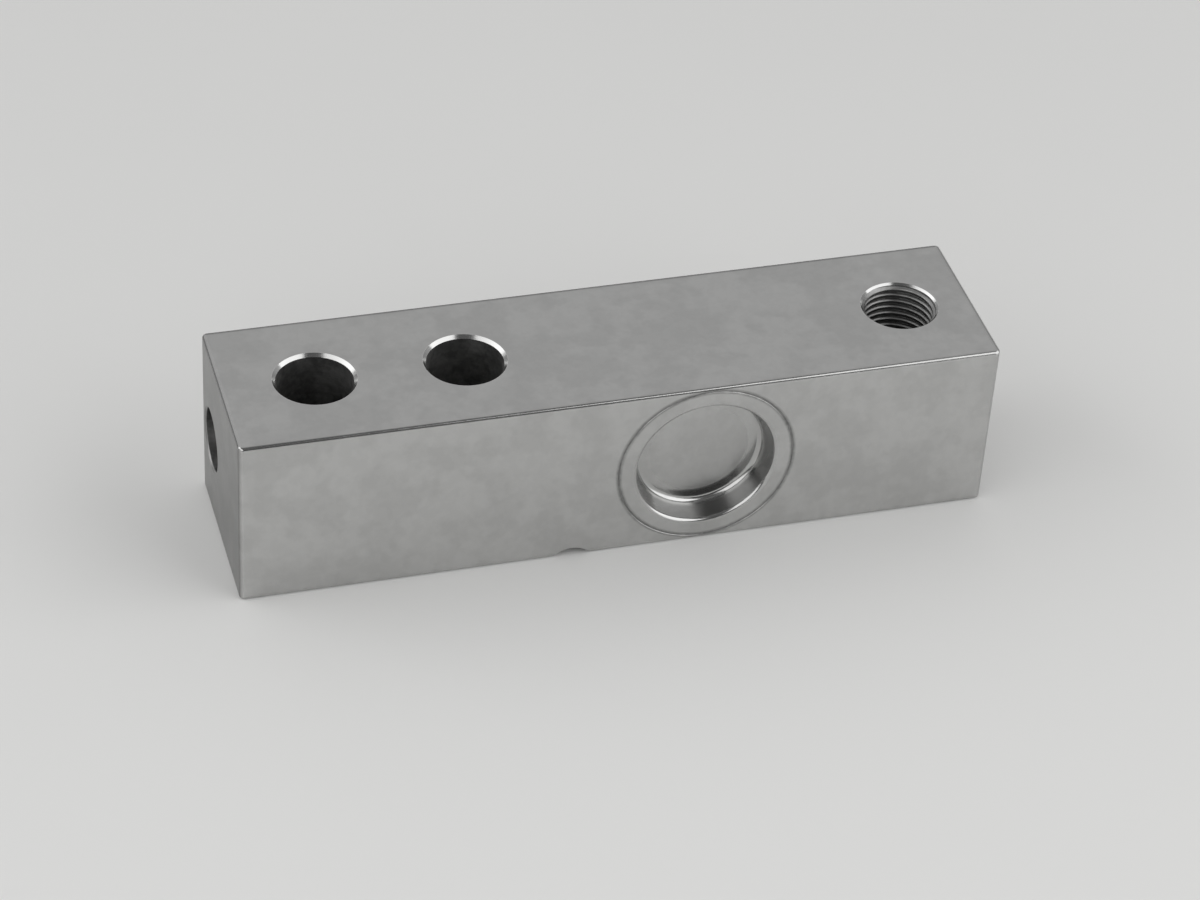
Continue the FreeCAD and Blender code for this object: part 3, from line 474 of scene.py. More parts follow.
def ring_band():
    """Mask: 1 on a ring of Radius round an axis along Z, falling to 0 at Width on both sides.

    The fall starts at 0.3 of Width.
    """
    tree, given, close = new_group(
        "Ring Band", {"Vector": (0, 0, 0), "Radius": 10 * MM, "Width": 0.5 * MM}, "Mask")
    reach = reach_of(tree, given["Vector"])
    away = calc(tree, "ABSOLUTE", calc(tree, "SUBTRACT", reach, given["Radius"]))
    close(remap(tree, away, calc(tree, "MULTIPLY", given["Width"], 0.3), given["Width"], 1.0, 0.0))
    return tree


def handling():
    """Mask: faint smears left by handling, from a broad noise broken by a finer one."""
    tree, given, close = new_group("Handling", {"Vector": (0, 0, 0), "Size": 12 * MM}, "Mask")
    spot = vector_calc(tree, "SCALE", given["Vector"], calc(tree, "DIVIDE", 1.0, given["Size"]))
    broad = remap(tree, noise(tree, spot, detail=3.0), 0.45, 0.7)
    broken = remap(tree, noise(tree, spot, scale=7.0, detail=3.0, roughness=0.7), 0.35, 0.75)
    close(calc(tree, "MULTIPLY", broad, broken))
    return tree


def cloth_weave():
    """Height from 0 to 1: the crossed threads of a glass cloth in the XZ plane, one each Pitch."""
    tree, given, close = new_group(
        "Cloth Weave", {"Vector": (0, 0, 0), "Pitch": 0.5 * MM}, "Height")
    x, _, z = parts_of(tree, vector_calc(
        tree, "SCALE", given["Vector"], calc(tree, "DIVIDE", math.pi, given["Pitch"])))
    warp = calc(tree, "ABSOLUTE", calc(tree, "SINE", x))
    weft = calc(tree, "ABSOLUTE", calc(tree, "SINE", z))
    close(calc(tree, "MULTIPLY", warp, weft))
    return tree


def effect(tree, build, **inputs):
    """Place a shared effect in a material; its group is built the first time."""
    name = build.__name__.replace("_", " ").title()
    node = tree.nodes.new("ShaderNodeGroup")
    node.node_tree = bpy.data.node_groups.get(name) or build()
    for label, value in inputs.items():
        connect(tree, node.inputs[label.replace("_", " ")], value)
    return node.outputs[0]


# ---------------------------------------------------------------- materials

SOFTNESS = 0.03 * MM        # over which a bore's finish changes to the face's
BORE_MARGIN = 0.02 * MM     # how far a bore's mask reaches past its chamfer
INLET_MARGIN = 0.15 * MM    # how far the inlet's mask reaches past the ring in it
POLE_FADE = 0.5 * MM        # over which the shading by facets at a cup's pole ends
EDGE_DROP = 0.15            # how far an edge falls, as a share of its band's width
EVEN = (1.0, 1.0, 1.0)      # a grain as long as it is wide
GROUND = (24.0, 0.8, 0.8)   # a grain drawn out along the beam by the grinding

# Where one finish fades into another: how far below its chamfer a drilled wall starts and ends
# its change to cut metal, and how far below a face its own shade starts and is full.
WALL_FADE = (0.12 * MM, 0.02 * MM)
FACE_FADE = (0.3 * MM, 0.05 * MM)

# Depths of the fine textures, from their lowest to their highest.
BLASTED_DEPTH = 0.004 * MM
GROUND_DEPTH = 0.0015 * MM
DRILLED_DEPTH = 0.002 * MM
SHEET_DEPTH = 0.003 * MM
CUT_DEPTH = 0.004 * MM
TURNED_DEPTH = 0.008 * MM
WEAVE_DEPTH = 0.006 * MM


class Finish:
    """A material in the making: its node tree, its shader and the object coordinates it reads."""

    def __init__(self, name, **constants):
        """constants are set on the shader's own sockets, named with _ for a space."""
        self.material = bpy.data.materials.new(name)
        self.material.use_nodes = True
        self.tree = self.material.node_tree
        self.shader = self.tree.nodes["Principled BSDF"]
        self.set(**constants)
        self.here = put(self.tree, "ShaderNodeTexCoord", "Object")

    def set(self, **inputs):
        """Set or link sockets of the shader."""
        for name, value in inputs.items():
            connect(self.tree, self.shader.inputs[name.replace("_", " ")], value)

    def about(self, centre, axis="z"):
        """Coordinates about a centre, turned so that the axis becomes Z."""
        offset = vector_calc(self.tree, "SUBTRACT", self.here, tuple(centre))
        if axis == "z":
            return offset
        x, y, z = parts_of(self.tree, offset)
        return join(self.tree, y, z, x) if axis == "x" else join(self.tree, z, x, y)

    def patches(self, size, contrast):
        """Shade: soft patches, about 1."""
        return effect(self.tree, blotches, Vector=self.here, Size=size, Contrast=contrast)

    def texture(self, size, stretch=EVEN):
        """Height: a fine grain."""
        return effect(self.tree, grain, Vector=self.here, Size=size, Stretch=stretch)

    def raise_by(self, *layers, over=None):
        """Bump from (height, depth) layers, each over the one before, the first over a normal."""
        normal = over
        for height, depth in layers:
            inputs = {"Height": height, "Distance": depth, "Strength": 1.0}
            if normal is not None:
                inputs["Normal"] = normal
            normal = put(self.tree, "ShaderNodeBump", "Normal", None, **inputs)
        self.set(Normal=normal)

    def give(self, *slots):
        """Put the material on every node of the given slots."""
        for node, slot in NODE_SLOTS.items():
            if slot in slots:
                for holder in frame["nodes"][node].material_slots:
                    holder.material = self.material


def upright_holes(steel, thread):
    """(X, radius, chamfer) of the two mounting holes and the load hole."""
    half = mount_size("mounting_bolts", "spacing_x_mm") / 2
    middle = MOUNTS["mounting_bolts"]["pos_m"][0]
    radius = mount_size("mounting_bolts", "hole_r_mm")
    return ((middle - half, radius, steel.bolt_chamfer),
            (middle + half, radius, steel.bolt_chamfer),
            (MOUNTS["load_thread"]["pos_m"][0], mount_size("load_thread", "r_mm"), thread.chamfer))


def on_face(tree, away, half_side):
    """Mask: 1 on a face half a side from the beam's middle, falling to 0 a little below it."""
    deep, shallow = FACE_FADE
    return remap(tree, away, half_side - deep, half_side - shallow)


def handled_satin(finish, steel, size, gloss):
    """Roughness of the plating, lower by the gloss where smears of a size lie on it."""
    smear = effect(finish.tree, handling, Vector=finish.here, Size=size)
    return calc(finish.tree, "MULTIPLY_ADD", smear, -gloss, steel.roughness)


def ring_between(tree, reach, inner, outer, inner_fade, outer_fade):
    """Mask: 1 between two distances from an axis, falling to 0 at both of them over the fades."""
    return calc(tree, "MULTIPLY", remap(tree, reach, inner, inner + inner_fade),
                remap(tree, reach, outer - outer_fade, outer, 1.0, 0.0))


def weld_tint(finish, cup):
    """Shade of the steel round both cups, where the weld's heat has dulled it."""
    tree = finish.tree
    axis = middle_of("front_cup")
    band = effect(tree, ring_band, Vector=finish.about((axis.x, 0.0, axis.z), "y"),
                  Radius=cup.groove_radius, Width=cup.tint_width)
    patchy = spread(tree, noise(tree, finish.here, scale=0.9 / MM), 0.6, 1.0)
    return calc(tree, "MULTIPLY_ADD", calc(tree, "MULTIPLY", band, patchy), -cup.tint, 1.0)


def make_beam_steel(steel, thread, cup):
    """Satin plating with blotches and a blasted grain, smoother edges and darker drilled walls;
    painted light on the side faces, painted shade on the end faces and in the inlet.
    """
    finish = Finish("beam_steel", Metallic=1.0)
    tree = finish.tree
    low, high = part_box("beam_body")
    centre, half = (low + high) / 2, (high - low) / 2
    offset = vector_calc(tree, "SUBTRACT", finish.here, tuple(centre))
    away_x, away_y, away_z = parts_of(tree, vector_calc(tree, "ABSOLUTE", offset))
    edge = effect(tree, box_edges, Vector=finish.here, Centre=tuple(centre), Half_Size=tuple(half),
                  Inner=steel.edge_middle, Width=steel.edge_width)
    end_face = on_face(tree, away_x, half.x)
    side_face = on_face(tree, away_y, half.y)

    # Each upright hole: its drilled wall between the chamfers, its chamfers and the tool's marks.
    drilled, cut, marks = 0.0, 0.0, LEVEL
    fade_start, fade_end = WALL_FADE
    for x, radius, chamfer in upright_holes(steel, thread):
        within = effect(tree, inside_bore, Vector=finish.here, Centre=(x, 0.0, 0.0),
                        Radius=radius + chamfer + BORE_MARGIN, Softness=SOFTNESS)
        wall_end = half.z - chamfer
        wall = remap(tree, away_z, wall_end - fade_start, wall_end - fade_end, 1.0, 0.0)
        rings = effect(tree, turning_marks, Vector=finish.about((x, 0.0, 0.0)),
                       Pitch=steel.ring_pitch)
        drilled = calc(tree, "MAXIMUM", drilled, calc(tree, "MULTIPLY", within, wall))
        mouth = calc(tree, "MULTIPLY", within, calc(tree, "SUBTRACT", 1.0, wall))
        cut = calc(tree, "MAXIMUM", cut, mouth)
        marks = mix_value(tree, within, marks, rings)

    # The cable inlet, a little wider than the ring that lies in it.
    ring_low, ring_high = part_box("gland_ring")
    inlet = effect(tree, inside_bore, Vector=finish.about((ring_low + ring_high) / 2, "x"),
                   Radius=(ring_high.y - ring_low.y) / 2 + INLET_MARGIN, Softness=SOFTNESS)
    inlet = calc(tree, "MULTIPLY", inlet, calc(tree, "SUBTRACT", 1.0, end_face))
    drilled = calc(tree, "MAXIMUM", drilled, inlet)

    shade = finish.patches(steel.blotch_size, steel.blotch)
    # Painted shade: the end faces made darker than the top.
    shade = calc(tree, "MULTIPLY", shade, mix_value(tree, end_face, 1.0, steel.end_shade))
    # Painted light lifts the side faces against the top; the weld's heat tint round the cups is
    # real.
    side = calc(tree, "MULTIPLY", weld_tint(finish, cup), steel.side_shade)
    shade = calc(tree, "MULTIPLY", shade, mix_value(tree, side_face, 1.0, side))
    colour = shade_colour(tree, tuple(steel.colour), shade)
    colour = mix_colour(tree, cut, colour, tuple(steel.cut_colour))
    smudge = finish.patches(size=3 * MM, contrast=0.3)
    bore_shade = calc(tree, "MULTIPLY", smudge, spread(tree, marks, 0.92, 1.08))
    bore = shade_colour(tree, tuple(steel.bore_colour), bore_shade)
    # Painted shade: the inlet's wall made darker, as shade falls inside the hole.
    bore = shade_colour(tree, bore, mix_value(tree, inlet, 1.0, steel.inlet_shade))
    finish.set(Base_Color=mix_colour(tree, drilled, colour, bore))

    cut_or_edge = calc(tree, "MAXIMUM", cut, edge)
    satin = handled_satin(finish, steel, size=14 * MM, gloss=0.05)
    satin = mix_value(tree, cut_or_edge, satin, steel.cut_roughness)
    finish.set(Roughness=mix_value(tree, drilled, satin, steel.bore_roughness))

    smooth = calc(tree, "MAXIMUM", cut_or_edge, drilled)
    blasted = mix_value(tree, smooth, finish.texture(steel.grain_size), LEVEL)
    ground = finish.texture(steel.grain_size, stretch=GROUND)
    finish.raise_by((edge, -EDGE_DROP * steel.edge_width), (blasted, BLASTED_DEPTH),
                    (ground, GROUND_DEPTH), (marks, DRILLED_DEPTH))
    return finish


def make_cup_steel(steel, cup):
    """Pressed sheet: satin floor and flange, smoother bends and a drawn wall darkened by painted
    shade; painted light lifts the whole cup.
    """
    finish = Finish("cup_steel", Metallic=1.0)
    tree = finish.tree
    axis = middle_of("front_cup")
    reach = reach_of(tree, finish.about((axis.x, 0.0, axis.z), "y"))
    drawn = ring_between(tree, reach, cup.crown_radius, cup.rim_radius,
                         inner_fade=0.8 * MM, outer_fade=0.4 * MM)
    wall = ring_between(tree, reach, cup.foot_radius, cup.mouth_radius,
                        inner_fade=0.2 * MM, outer_fade=0.2 * MM)
    # Painted light lifts the whole cup against the beam's top; the weld's heat tint is real.
    side = calc(tree, "MULTIPLY", weld_tint(finish, cup), steel.side_shade)
    shade = calc(tree, "MULTIPLY", finish.patches(steel.blotch_size, steel.blotch), side)
    # Painted shade: the cup's wall made darker, where shade falls inside the cup.
    shade = calc(tree, "MULTIPLY", shade, mix_value(tree, wall, 1.0, cup.wall_shade))
    finish.set(Base_Color=shade_colour(tree, tuple(steel.colour), shade))

    satin = handled_satin(finish, steel, size=9 * MM, gloss=0.04)
    finish.set(Roughness=mix_value(tree, drawn, satin, steel.cut_roughness))

    # The sheet's facets draw together at the pole of its crown, where the smoothed normal strays.
    surface = tree.nodes.new("ShaderNodeNewGeometry").outputs
    pole = remap(tree, reach, cup.pole_radius, cup.pole_radius + POLE_FADE, 1.0, 0.0)
    steady = mix_vector(tree, pole, surface["Normal"], surface["True Normal"])
    satin_skin = mix_value(tree, drawn, finish.texture(steel.grain_size), LEVEL)
    finish.raise_by((satin_skin, SHEET_DEPTH), over=vector_calc(tree, "NORMALIZE", steady))
    return finish


def make_thread_steel(steel):
    """Cut thread: duller than the plating, with tool marks along the flanks."""
    finish = Finish("thread_steel", Metallic=1.0)
    tree = finish.tree
    axis = finish.about((MOUNTS["load_thread"]["pos_m"][0], 0.0, 0.0))
    rings = effect(tree, turning_marks, Vector=axis, Pitch=0.12 * MM)
    colour = tuple(steel.thread_shade * part for part in steel.colour)
    shade = finish.patches(size=2 * MM, contrast=0.12)
    finish.set(Base_Color=shade_colour(tree, colour, shade),
               Roughness=spread(tree, rings, 0.34, 0.44))
    finish.raise_by((rings, CUT_DEPTH))
    return finish


def make_weld_steel(steel):
    """Fused seam: darker than the plating, uneven in shade and gloss."""
    finish = Finish("weld_steel", Metallic=1.0)
    tree = finish.tree
    colour = tuple(steel.weld_shade * part for part in steel.colour)
    shade = finish.patches(size=1.2 * MM, contrast=0.18)
    skin = finish.texture(size=0.08 * MM)
    finish.set(Base_Color=shade_colour(tree, colour, shade),
               Roughness=spread(tree, skin, 0.32, 0.5))
    finish.raise_by((skin, CUT_DEPTH))
    return finish


def make_inlet_metals():
    """Turned ring and washers of the inlet, and the header's sealing alloy."""
    inlet = middle_of("gland_ring")
    header = middle_of("header_shell")
    for name, centre, colour, roughness, ring_pitch in (
            ("gland_steel", inlet, (0.50, 0.50, 0.49), 0.30, 0.14 * MM),
            ("header_metal", header, (0.52, 0.48, 0.41), 0.34, 0.09 * MM)):
        finish = Finish(name, Metallic=1.0)
        tree = finish.tree
        marks = effect(tree, turning_marks, Vector=finish.about(centre, "x"), Pitch=ring_pitch)
        shade = finish.patches(size=2 * MM, contrast=0.08)
        finish.set(Base_Color=shade_colour(tree, colour, shade),
                   Roughness=spread(tree, marks, roughness - 0.06, roughness + 0.08))
        finish.raise_by((marks, TURNED_DEPTH))
        finish.give(name)


def make_soft_finish(name, colour, roughness, grain_size, depth, contrast=0.06, **constants):
    """A plain finish: faint patches of shade, uneven gloss and a fine skin."""
    finish = Finish(name, **constants)
    tree = finish.tree
    shade = finish.patches(2.5 * MM, contrast)
    skin = finish.texture(grain_size)
    finish.set(Base_Color=shade_colour(tree, colour, shade),
               Roughness=spread(tree, skin, roughness - 0.05, roughness + 0.07))
    finish.raise_by((skin, depth))
    finish.give(name)
    return finish


def make_laminate():
    """Green glass-epoxy: the cloth's weave shows as a faint pattern under the resin."""
    finish = Finish("board_laminate")
    tree = finish.tree
    weave = effect(tree, cloth_weave, Vector=finish.here, Pitch=0.45 * MM)
    gap_colour, thread_colour = (0.045, 0.17, 0.075), (0.085, 0.25, 0.12)
    cloth = mix_colour(tree, remap(tree, weave, 0.2, 0.9), gap_colour, thread_colour)
    shade = finish.patches(size=3 * MM, contrast=0.08)
    finish.set(Base_Color=shade_colour(tree, cloth, shade),
               Roughness=remap(tree, weave, 0.0, 1.0, 0.46, 0.34))
    finish.raise_by((weave, WEAVE_DEPTH))
    finish.give("board_laminate")


# ---------------------------------------------------------------- new pieces

def grid_piece(name, rows, material, capped=True):
    """A mesh from a grid of points, rows by columns by 3.

    Each row is a closed section.  Capped rows close both ends; without caps the last row joins the
    first.
    """
    count, width, _ = rows.shape
    index = np.arange(count * width).reshape(count, width)
    along = index if capped else np.vstack((index, index[:1]))
    across = np.hstack((along, along[:, :1]))
    faces = np.stack((across[:-1, :-1], across[:-1, 1:], across[1:, 1:], across[1:, :-1]), -1)
    mesh = bpy.data.meshes.new(name)
    ends = [index[0, ::-1].tolist(), index[-1].tolist()] if capped else []
    mesh.from_pydata(rows.reshape(-1, 3), [], faces.reshape(-1, 4).tolist() + ends)
    mesh.polygons.foreach_set("use_smooth", np.ones(len(mesh.polygons), bool))
    mesh.materials.append(material)
    piece = bpy.data.objects.new(name, mesh)
    bpy.context.scene.collection.objects.link(piece)
    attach(piece, "root")
    return piece


# A full ridge of a 60 degree thread, as shares of its pitch: its height and half the width of its
# foot, and its crest's width as a share of its foot's.
RIDGE_HEIGHT = 0.5413
HALF_FOOT = 0.4375
CREST_SHARE = 0.2857
FOOT_SINK = 0.03 * MM       # how far a ridge's foot lies inside the hole's wall
END_GAP = 0.05 * MM         # from the ridge's ends to the beam's faces
THIN_END = 0.01 * MM        # half the width that the ridge keeps at its very ends


def thread_rows(thread):
    """The ridge of the load hole's thread, as sections along its helix.

    A section's points have u from -1 to 1 across the ridge.  The ridge stands on the hole's wall,
    and a tapped one reaches only the engaged share of a full one's height, so its crest is wider;
    its flanks run straight, 60 degrees apart.  Towards the hole's ends a point stays outside the
    cone that carries the chamfer inwards, so the ridge runs out as a cut thread does.
    """
    hole = MOUNTS["load_thread"]
    wall = mount_size("load_thread", "r_mm") + FOOT_SINK
    low, high = CAD_LOW.z + END_GAP, CAD_HIGH.z - END_GAP
    turns = (high - low) / thread.pitch
    angle = np.linspace(0, 2 * math.pi * turns, int(turns * thread.steps) + 1)[:, None]
    crest = 1 - (1 - CREST_SHARE) * thread.engaged
    ease = 0.06             # half the width of the crest's eased corner
    u = np.array([-1, -0.8, -crest - ease, -crest + ease, -0.15,
                  0.15, crest - ease, crest + ease, 0.8, 1])
    middle = low + (high - low) * angle / angle[-1]
    half = np.minimum(HALF_FOOT * thread.pitch, np.minimum(middle - low, high - middle) + THIN_END)
    z = middle + u * half
    flank = np.clip((1 - np.abs(u)) / (1 - crest), 0, 1)
    full = wall - (RIDGE_HEIGHT * thread.engaged * thread.pitch + FOOT_SINK) * flank
    inwards = np.minimum(z - CAD_LOW.z, CAD_HIGH.z - z) - thread.chamfer
    radius = np.maximum(full, wall - inwards)
    return np.stack((hole["pos_m"][0] + radius * np.cos(angle), radius * np.sin(angle), z), -1)


BEAD_ARCH = 0.05 * MM       # from the bead's crown down to its toes
BEAD_RIPPLE = 0.012 * MM    # height of a ripple
BEAD_ROOT = 0.22 * MM       # the bead's underside below the side face
RIPPLE_LAG = 1.2            # how far a ripple's toes trail its middle, in radians
RIPPLE_STEPS = 4            # steps round the ring for each ripple


def seam_rows(cup, centre, face, outward):
    """A weld bead in the groove round a cup, as sections round its ring.

    The bead's top is an arch across the groove, lower at its toes, and a whole number of ripples
    runs round the ring; its underside is flat and lies hidden in the gap.
    """
    ripples = round(2 * math.pi * cup.groove_radius / cup.ripple_pitch)
    angle = np.linspace(0, 2 * math.pi, RIPPLE_STEPS * ripples, endpoint=False)[:, None]
    u = np.array([-1, -0.6, -0.2, 0.2, 0.6, 1, 0.6, -0.6])[None, :]
    on_top = np.arange(u.size) < 6
    reach = cup.groove_radius + u * cup.bead_half_width
    ripple = BEAD_RIPPLE * np.cos(ripples * angle + RIPPLE_LAG * u ** 2)
    depth = cup.bead_sink + BEAD_ARCH * u ** 2 + ripple * (1 - u ** 2)
    depth = np.where(on_top, depth, BEAD_ROOT)
    return np.stack((centre.x + reach * np.cos(angle), face - outward * depth,
                     centre.z + reach * np.sin(angle)), -1)


# ---------------------------------------------------------------- operators

class LOADCELL_OT_finish_beam(bpy.types.Operator):
    """Give the beam its satin plating"""
    bl_idname = "loadcell.finish_beam"
    bl_label = "Finish Beam"

    def execute(self, context):
        scene = context.scene
        finish = make_beam_steel(scene.load_cell_steel, scene.load_cell_thread,
                                 scene.load_cell_cup)
        finish.give("beam_steel")
        return {"FINISHED"}


class LOADCELL_OT_cut_thread(bpy.types.Operator):
    """Make the thread in the load hole"""
    bl_idname = "loadcell.cut_thread"
    bl_label = "Cut Thread"

    def execute(self, context):
        finish = make_thread_steel(context.scene.load_cell_steel)
        rows = thread_rows(context.scene.load_cell_thread)
        grid_piece("load_thread_ridge", rows, finish.material)
        return {"FINISHED"}


class LOADCELL_OT_finish_cups(bpy.types.Operator):
    """Give the sealing cups their pressed finish"""
    bl_idname = "loadcell.finish_cups"
    bl_label = "Finish Cups"

    def execute(self, context):
        scene = context.scene
        make_cup_steel(scene.load_cell_steel, scene.load_cell_cup).give("cup_steel")
        return {"FINISHED"}


class LOADCELL_OT_weld_seams(bpy.types.Operator):
    """Lay the weld bead round each cup"""
    bl_idname = "loadcell.weld_seams"
    bl_label = "Weld Seams"

    def execute(self, context):
        cup = context.scene.load_cell_cup
        finish = make_weld_steel(context.scene.load_cell_steel)
        for side, face, outward in (("front", CAD_LOW.y, -1), ("rear", CAD_HIGH.y, 1)):
            rows = seam_rows(cup, middle_of(f"{side}_cup"), face, outward)
            if outward > 0:
                rows = rows[:, ::-1]    # so that the faces point outwards there too
            grid_piece(f"{side}_seam_weld", rows, finish.material, capped=False)
        return {"FINISHED"}


class LOADCELL_OT_finish_inlet(bpy.types.Operator):
    """Finish the cable inlet, its grommet and the sealed header behind it"""
    bl_idname = "loadcell.finish_inlet"
    bl_label = "Finish Inlet"

    def execute(self, context):
        make_inlet_metals()
        make_soft_finish("grommet_rubber", (0.028, 0.028, 0.029), roughness=0.58,
                         grain_size=0.12 * MM, depth=0.012 * MM, contrast=0.2)
        glass = make_soft_finish("header_glass", (0.12, 0.30, 0.26), roughness=0.12,
                                 grain_size=0.3 * MM, depth=0.004 * MM, contrast=0.25)
        glass.set(Transmission_Weight=0.5, IOR=1.5)
        return {"FINISHED"}


class LOADCELL_OT_finish_gauges(bpy.types.Operator):
    """Finish the strain gauges, their films and terminals"""
    bl_idname = "loadcell.finish_gauges"
    bl_label = "Finish Gauges"

    def execute(self, context):
        make_soft_finish("gauge_film", (0.62, 0.34, 0.07), roughness=0.28,
                         grain_size=0.2 * MM, depth=0.002 * MM, Coat_Weight=0.3)
        make_soft_finish("gauge_foil", (0.60, 0.49, 0.34), roughness=0.34,
                         grain_size=0.06 * MM, depth=0.001 * MM, Metallic=1.0)
        make_soft_finish("copper", (0.74, 0.56, 0.36), roughness=0.30,
                         grain_size=0.15 * MM, depth=0.004 * MM, contrast=0.14, Metallic=1.0)
        return {"FINISHED"}


class LOADCELL_OT_finish_board(bpy.types.Operator):
    """Finish the compensation board, its resistors and the sleeve through the web"""
    bl_idname = "loadcell.finish_board"
    bl_label = "Finish Board"

    def execute(self, context):
        make_laminate()
        make_soft_finish("chip_body", (0.03, 0.03, 0.034), roughness=0.38,
                         grain_size=0.1 * MM, depth=0.003 * MM, contrast=0.15)
        make_soft_finish("sleeve_plastic", (0.78, 0.78, 0.75), roughness=0.45,
                         grain_size=0.15 * MM, depth=0.004 * MM)
        return {"FINISHED"}


class LOADCELL_OT_finish_wiring(bpy.types.Operator):
    """Finish the insulated wires and leads"""
    bl_idname = "loadcell.finish_wiring"
    bl_label = "Finish Wiring"

    def execute(self, context):
        for name, colour in (("insulation_red", (0.55, 0.03, 0.025)),
                             ("insulation_black", (0.018, 0.018, 0.02)),
                             ("insulation_green", (0.02, 0.26, 0.07)),
                             ("insulation_white", (0.76, 0.76, 0.73)),
                             ("insulation_clear", (0.52, 0.30, 0.08))):
            make_soft_finish(name, colour, roughness=0.32, grain_size=0.12 * MM,
                             depth=0.004 * MM, contrast=0.08)
        return {"FINISHED"}


class LOADCELL_OT_set_stage(bpy.types.Operator):
    """Set the floor, the softboxes, the surround and the camera"""
    bl_idname = "loadcell.set_stage"
    bl_label = "Set Stage"

    def execute(self, context):
        stage = context.scene.load_cell_stage
        lay_floor(stage)
        middle = (CAD_LOW + CAD_HIGH) / 2
        for softbox in SOFTBOXES:
            hang_softbox(stage, middle, *softbox)
        light_surround(context.scene, stage)
        place_camera(context.scene, middle)
        context.scene.view_settings.view_transform = "Standard"
        return {"FINISHED"}


# ---------------------------------------------------------------- the stage

FLOOR_GAP = 0.02 * MM       # between the beam's underside and the floor

# Where the surround turns from its front to its back and from its low to its high strength, by
# the Y and the Z of the direction looked in.
FRONT_TO_BACK = (-0.45, 0.55)
LOW_TO_HIGH = (0.1, 0.5)

# Name, then azimuth, elevation, width and height in degrees, and share of the lamp power.
SOFTBOXES = (
    ("softbox_left", -74.0, 34.0, 110.0, 42.0, 0.7),
    ("softbox_right", 58.0, 28.0, 62.0, 60.0, 0.85),
)


def lay_floor(stage):
    """A square floor just under the beam, its colour a touch uneven as paper is."""
    half = stage.floor_side / 2
    mesh = bpy.data.meshes.new("floor")
    corners = ((-half, -half), (half, -half), (half, half), (-half, half))
    mesh.from_pydata([(x, y, CAD_LOW.z - FLOOR_GAP) for x, y in corners], [], [(0, 1, 2, 3)])
    finish = Finish("floor_paper", Roughness=0.9)
    shade = finish.patches(size=0.3, contrast=0.006)
    finish.set(Base_Color=shade_colour(finish.tree, tuple(stage.floor_colour), shade))
    mesh.materials.append(finish.material)
    floor = bpy.data.objects.new("floor", mesh)
    bpy.context.scene.collection.objects.link(floor)


def towards(azimuth, elevation):
    """Unit vector from the beam at angles in radians; azimuth 0 is in front of the near side."""
    return Vector((math.sin(azimuth) * math.cos(elevation),
                   -math.cos(azimuth) * math.cos(elevation), math.sin(elevation)))


def hang_softbox(stage, middle, name, azimuth, elevation, width, height, share):
    """A rectangular area lamp that faces the beam and fills the given angles as seen from it."""
    lamp = bpy.data.lights.new(name, "AREA")
    lamp.shape = "RECTANGLE"
    lamp.size = 2 * stage.lamp_distance * math.tan(math.radians(width / 2))
    lamp.size_y = 2 * stage.lamp_distance * math.tan(math.radians(height / 2))
    lamp.energy = share * stage.lamp_power * lamp.size * lamp.size_y
    holder = bpy.data.objects.new(name, lamp)
    away = towards(math.radians(azimuth), math.radians(elevation))
    holder.matrix_world = (Matrix.Translation(middle + away * stage.lamp_distance)
                           @ away.to_track_quat("Z", "Y").to_matrix().to_4x4())
    bpy.context.scene.collection.objects.link(holder)


def light_surround(scene, stage):
    """A plain grey surround, brighter behind the beam than in front of it and dimmer low down."""
    world = bpy.data.worlds.new("surround")
    world.use_nodes = True
    tree = world.node_tree
    direction = put(tree, "ShaderNodeTexCoord", "Generated")
    _, depth, height = parts_of(tree, direction)
    strength = remap(tree, depth, *FRONT_TO_BACK, stage.dim_sky, stage.bright_sky)
    from_horizon = remap(tree, height, *LOW_TO_HIGH, stage.low_sky, 1.0)
    strength = calc(tree, "MULTIPLY", strength, from_horizon)
    background = tree.nodes["Background"]
    background.inputs["Color"].default_value = (1.0, 1.0, 1.0, 1.0)
    tree.links.new(strength, background.inputs["Strength"])
    scene.world = world


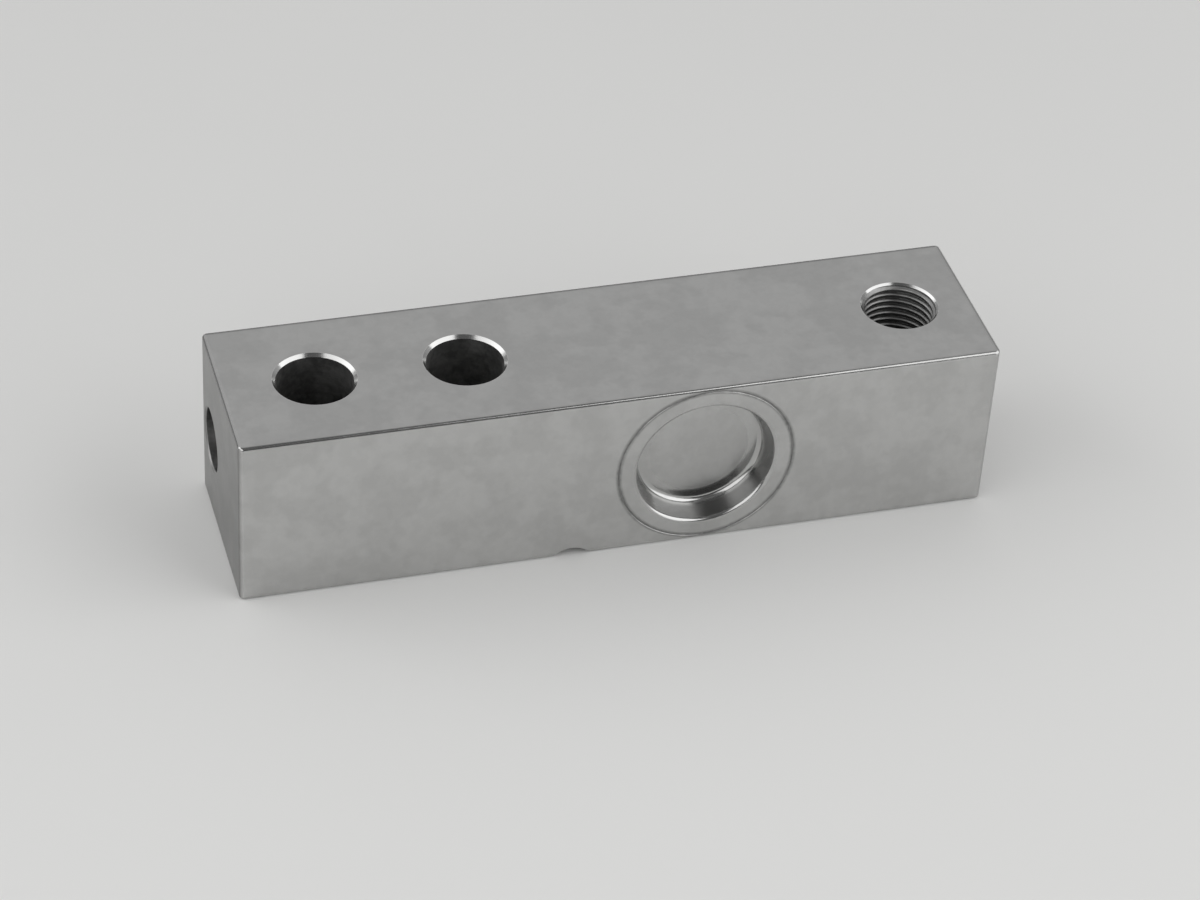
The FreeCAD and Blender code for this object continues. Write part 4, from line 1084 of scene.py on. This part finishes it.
def place_camera(scene, middle):
    """A long lens that looks down at the near side from the left."""
    view = scene.load_cell_view
    back = towards(view.azimuth, view.elevation)
    right = (-back).cross(Vector((0, 0, 1))).normalized()
    up = right.cross(-back)
    turned_right = right * math.cos(view.roll) + up * math.sin(view.roll)
    turned_up = up * math.cos(view.roll) - right * math.sin(view.roll)
    spot = middle - turned_right * view.across - turned_up * view.up + back * view.distance
    lens = bpy.data.cameras.new("camera")
    lens.lens = view.lens
    lens.sensor_width = 36.0
    camera = bpy.data.objects.new("camera", lens)
    axes = Matrix((turned_right, turned_up, back)).transposed().to_4x4()
    camera.matrix_world = Matrix.Translation(spot) @ axes
    scene.collection.objects.link(camera)
    scene.camera = camera


# ---------------------------------------------------------------- panel and registration

OPERATORS = (
    LOADCELL_OT_finish_beam, LOADCELL_OT_cut_thread, LOADCELL_OT_finish_cups,
    LOADCELL_OT_weld_seams, LOADCELL_OT_finish_inlet, LOADCELL_OT_finish_gauges,
    LOADCELL_OT_finish_board, LOADCELL_OT_finish_wiring, LOADCELL_OT_set_stage,
)


class LOADCELL_PT_panel(bpy.types.Panel):
    """Settings and steps of the load cell"""
    bl_idname = "LOADCELL_PT_panel"
    bl_label = "Load Cell"
    bl_space_type = "VIEW_3D"
    bl_region_type = "UI"
    bl_category = "Load Cell"

    def draw(self, context):
        for name, group in SETTINGS.items():
            box = self.layout.box()
            box.label(text=group.__name__.removesuffix("Settings"))
            for entry in group.__annotations__:
                box.prop(getattr(context.scene, name), entry)
        for operator in OPERATORS:
            self.layout.operator(operator.bl_idname)


CLASSES = (*SETTINGS.values(), *OPERATORS, LOADCELL_PT_panel)


def register():
    """Add the settings, the steps and the panel."""
    for cls in CLASSES:
        bpy.utils.register_class(cls)
    for name, group in SETTINGS.items():
        setattr(bpy.types.Scene, name, PointerProperty(type=group))


def unregister():
    """Take them away again."""
    for name in SETTINGS:
        delattr(bpy.types.Scene, name)
    for cls in reversed(CLASSES):
        bpy.utils.unregister_class(cls)


def main():
    """Run every step in its order."""
    register()
    for operator in OPERATORS:
        category, step = operator.bl_idname.split(".")
        getattr(getattr(bpy.ops, category), step)()


if __name__ == "__main__":
    main()
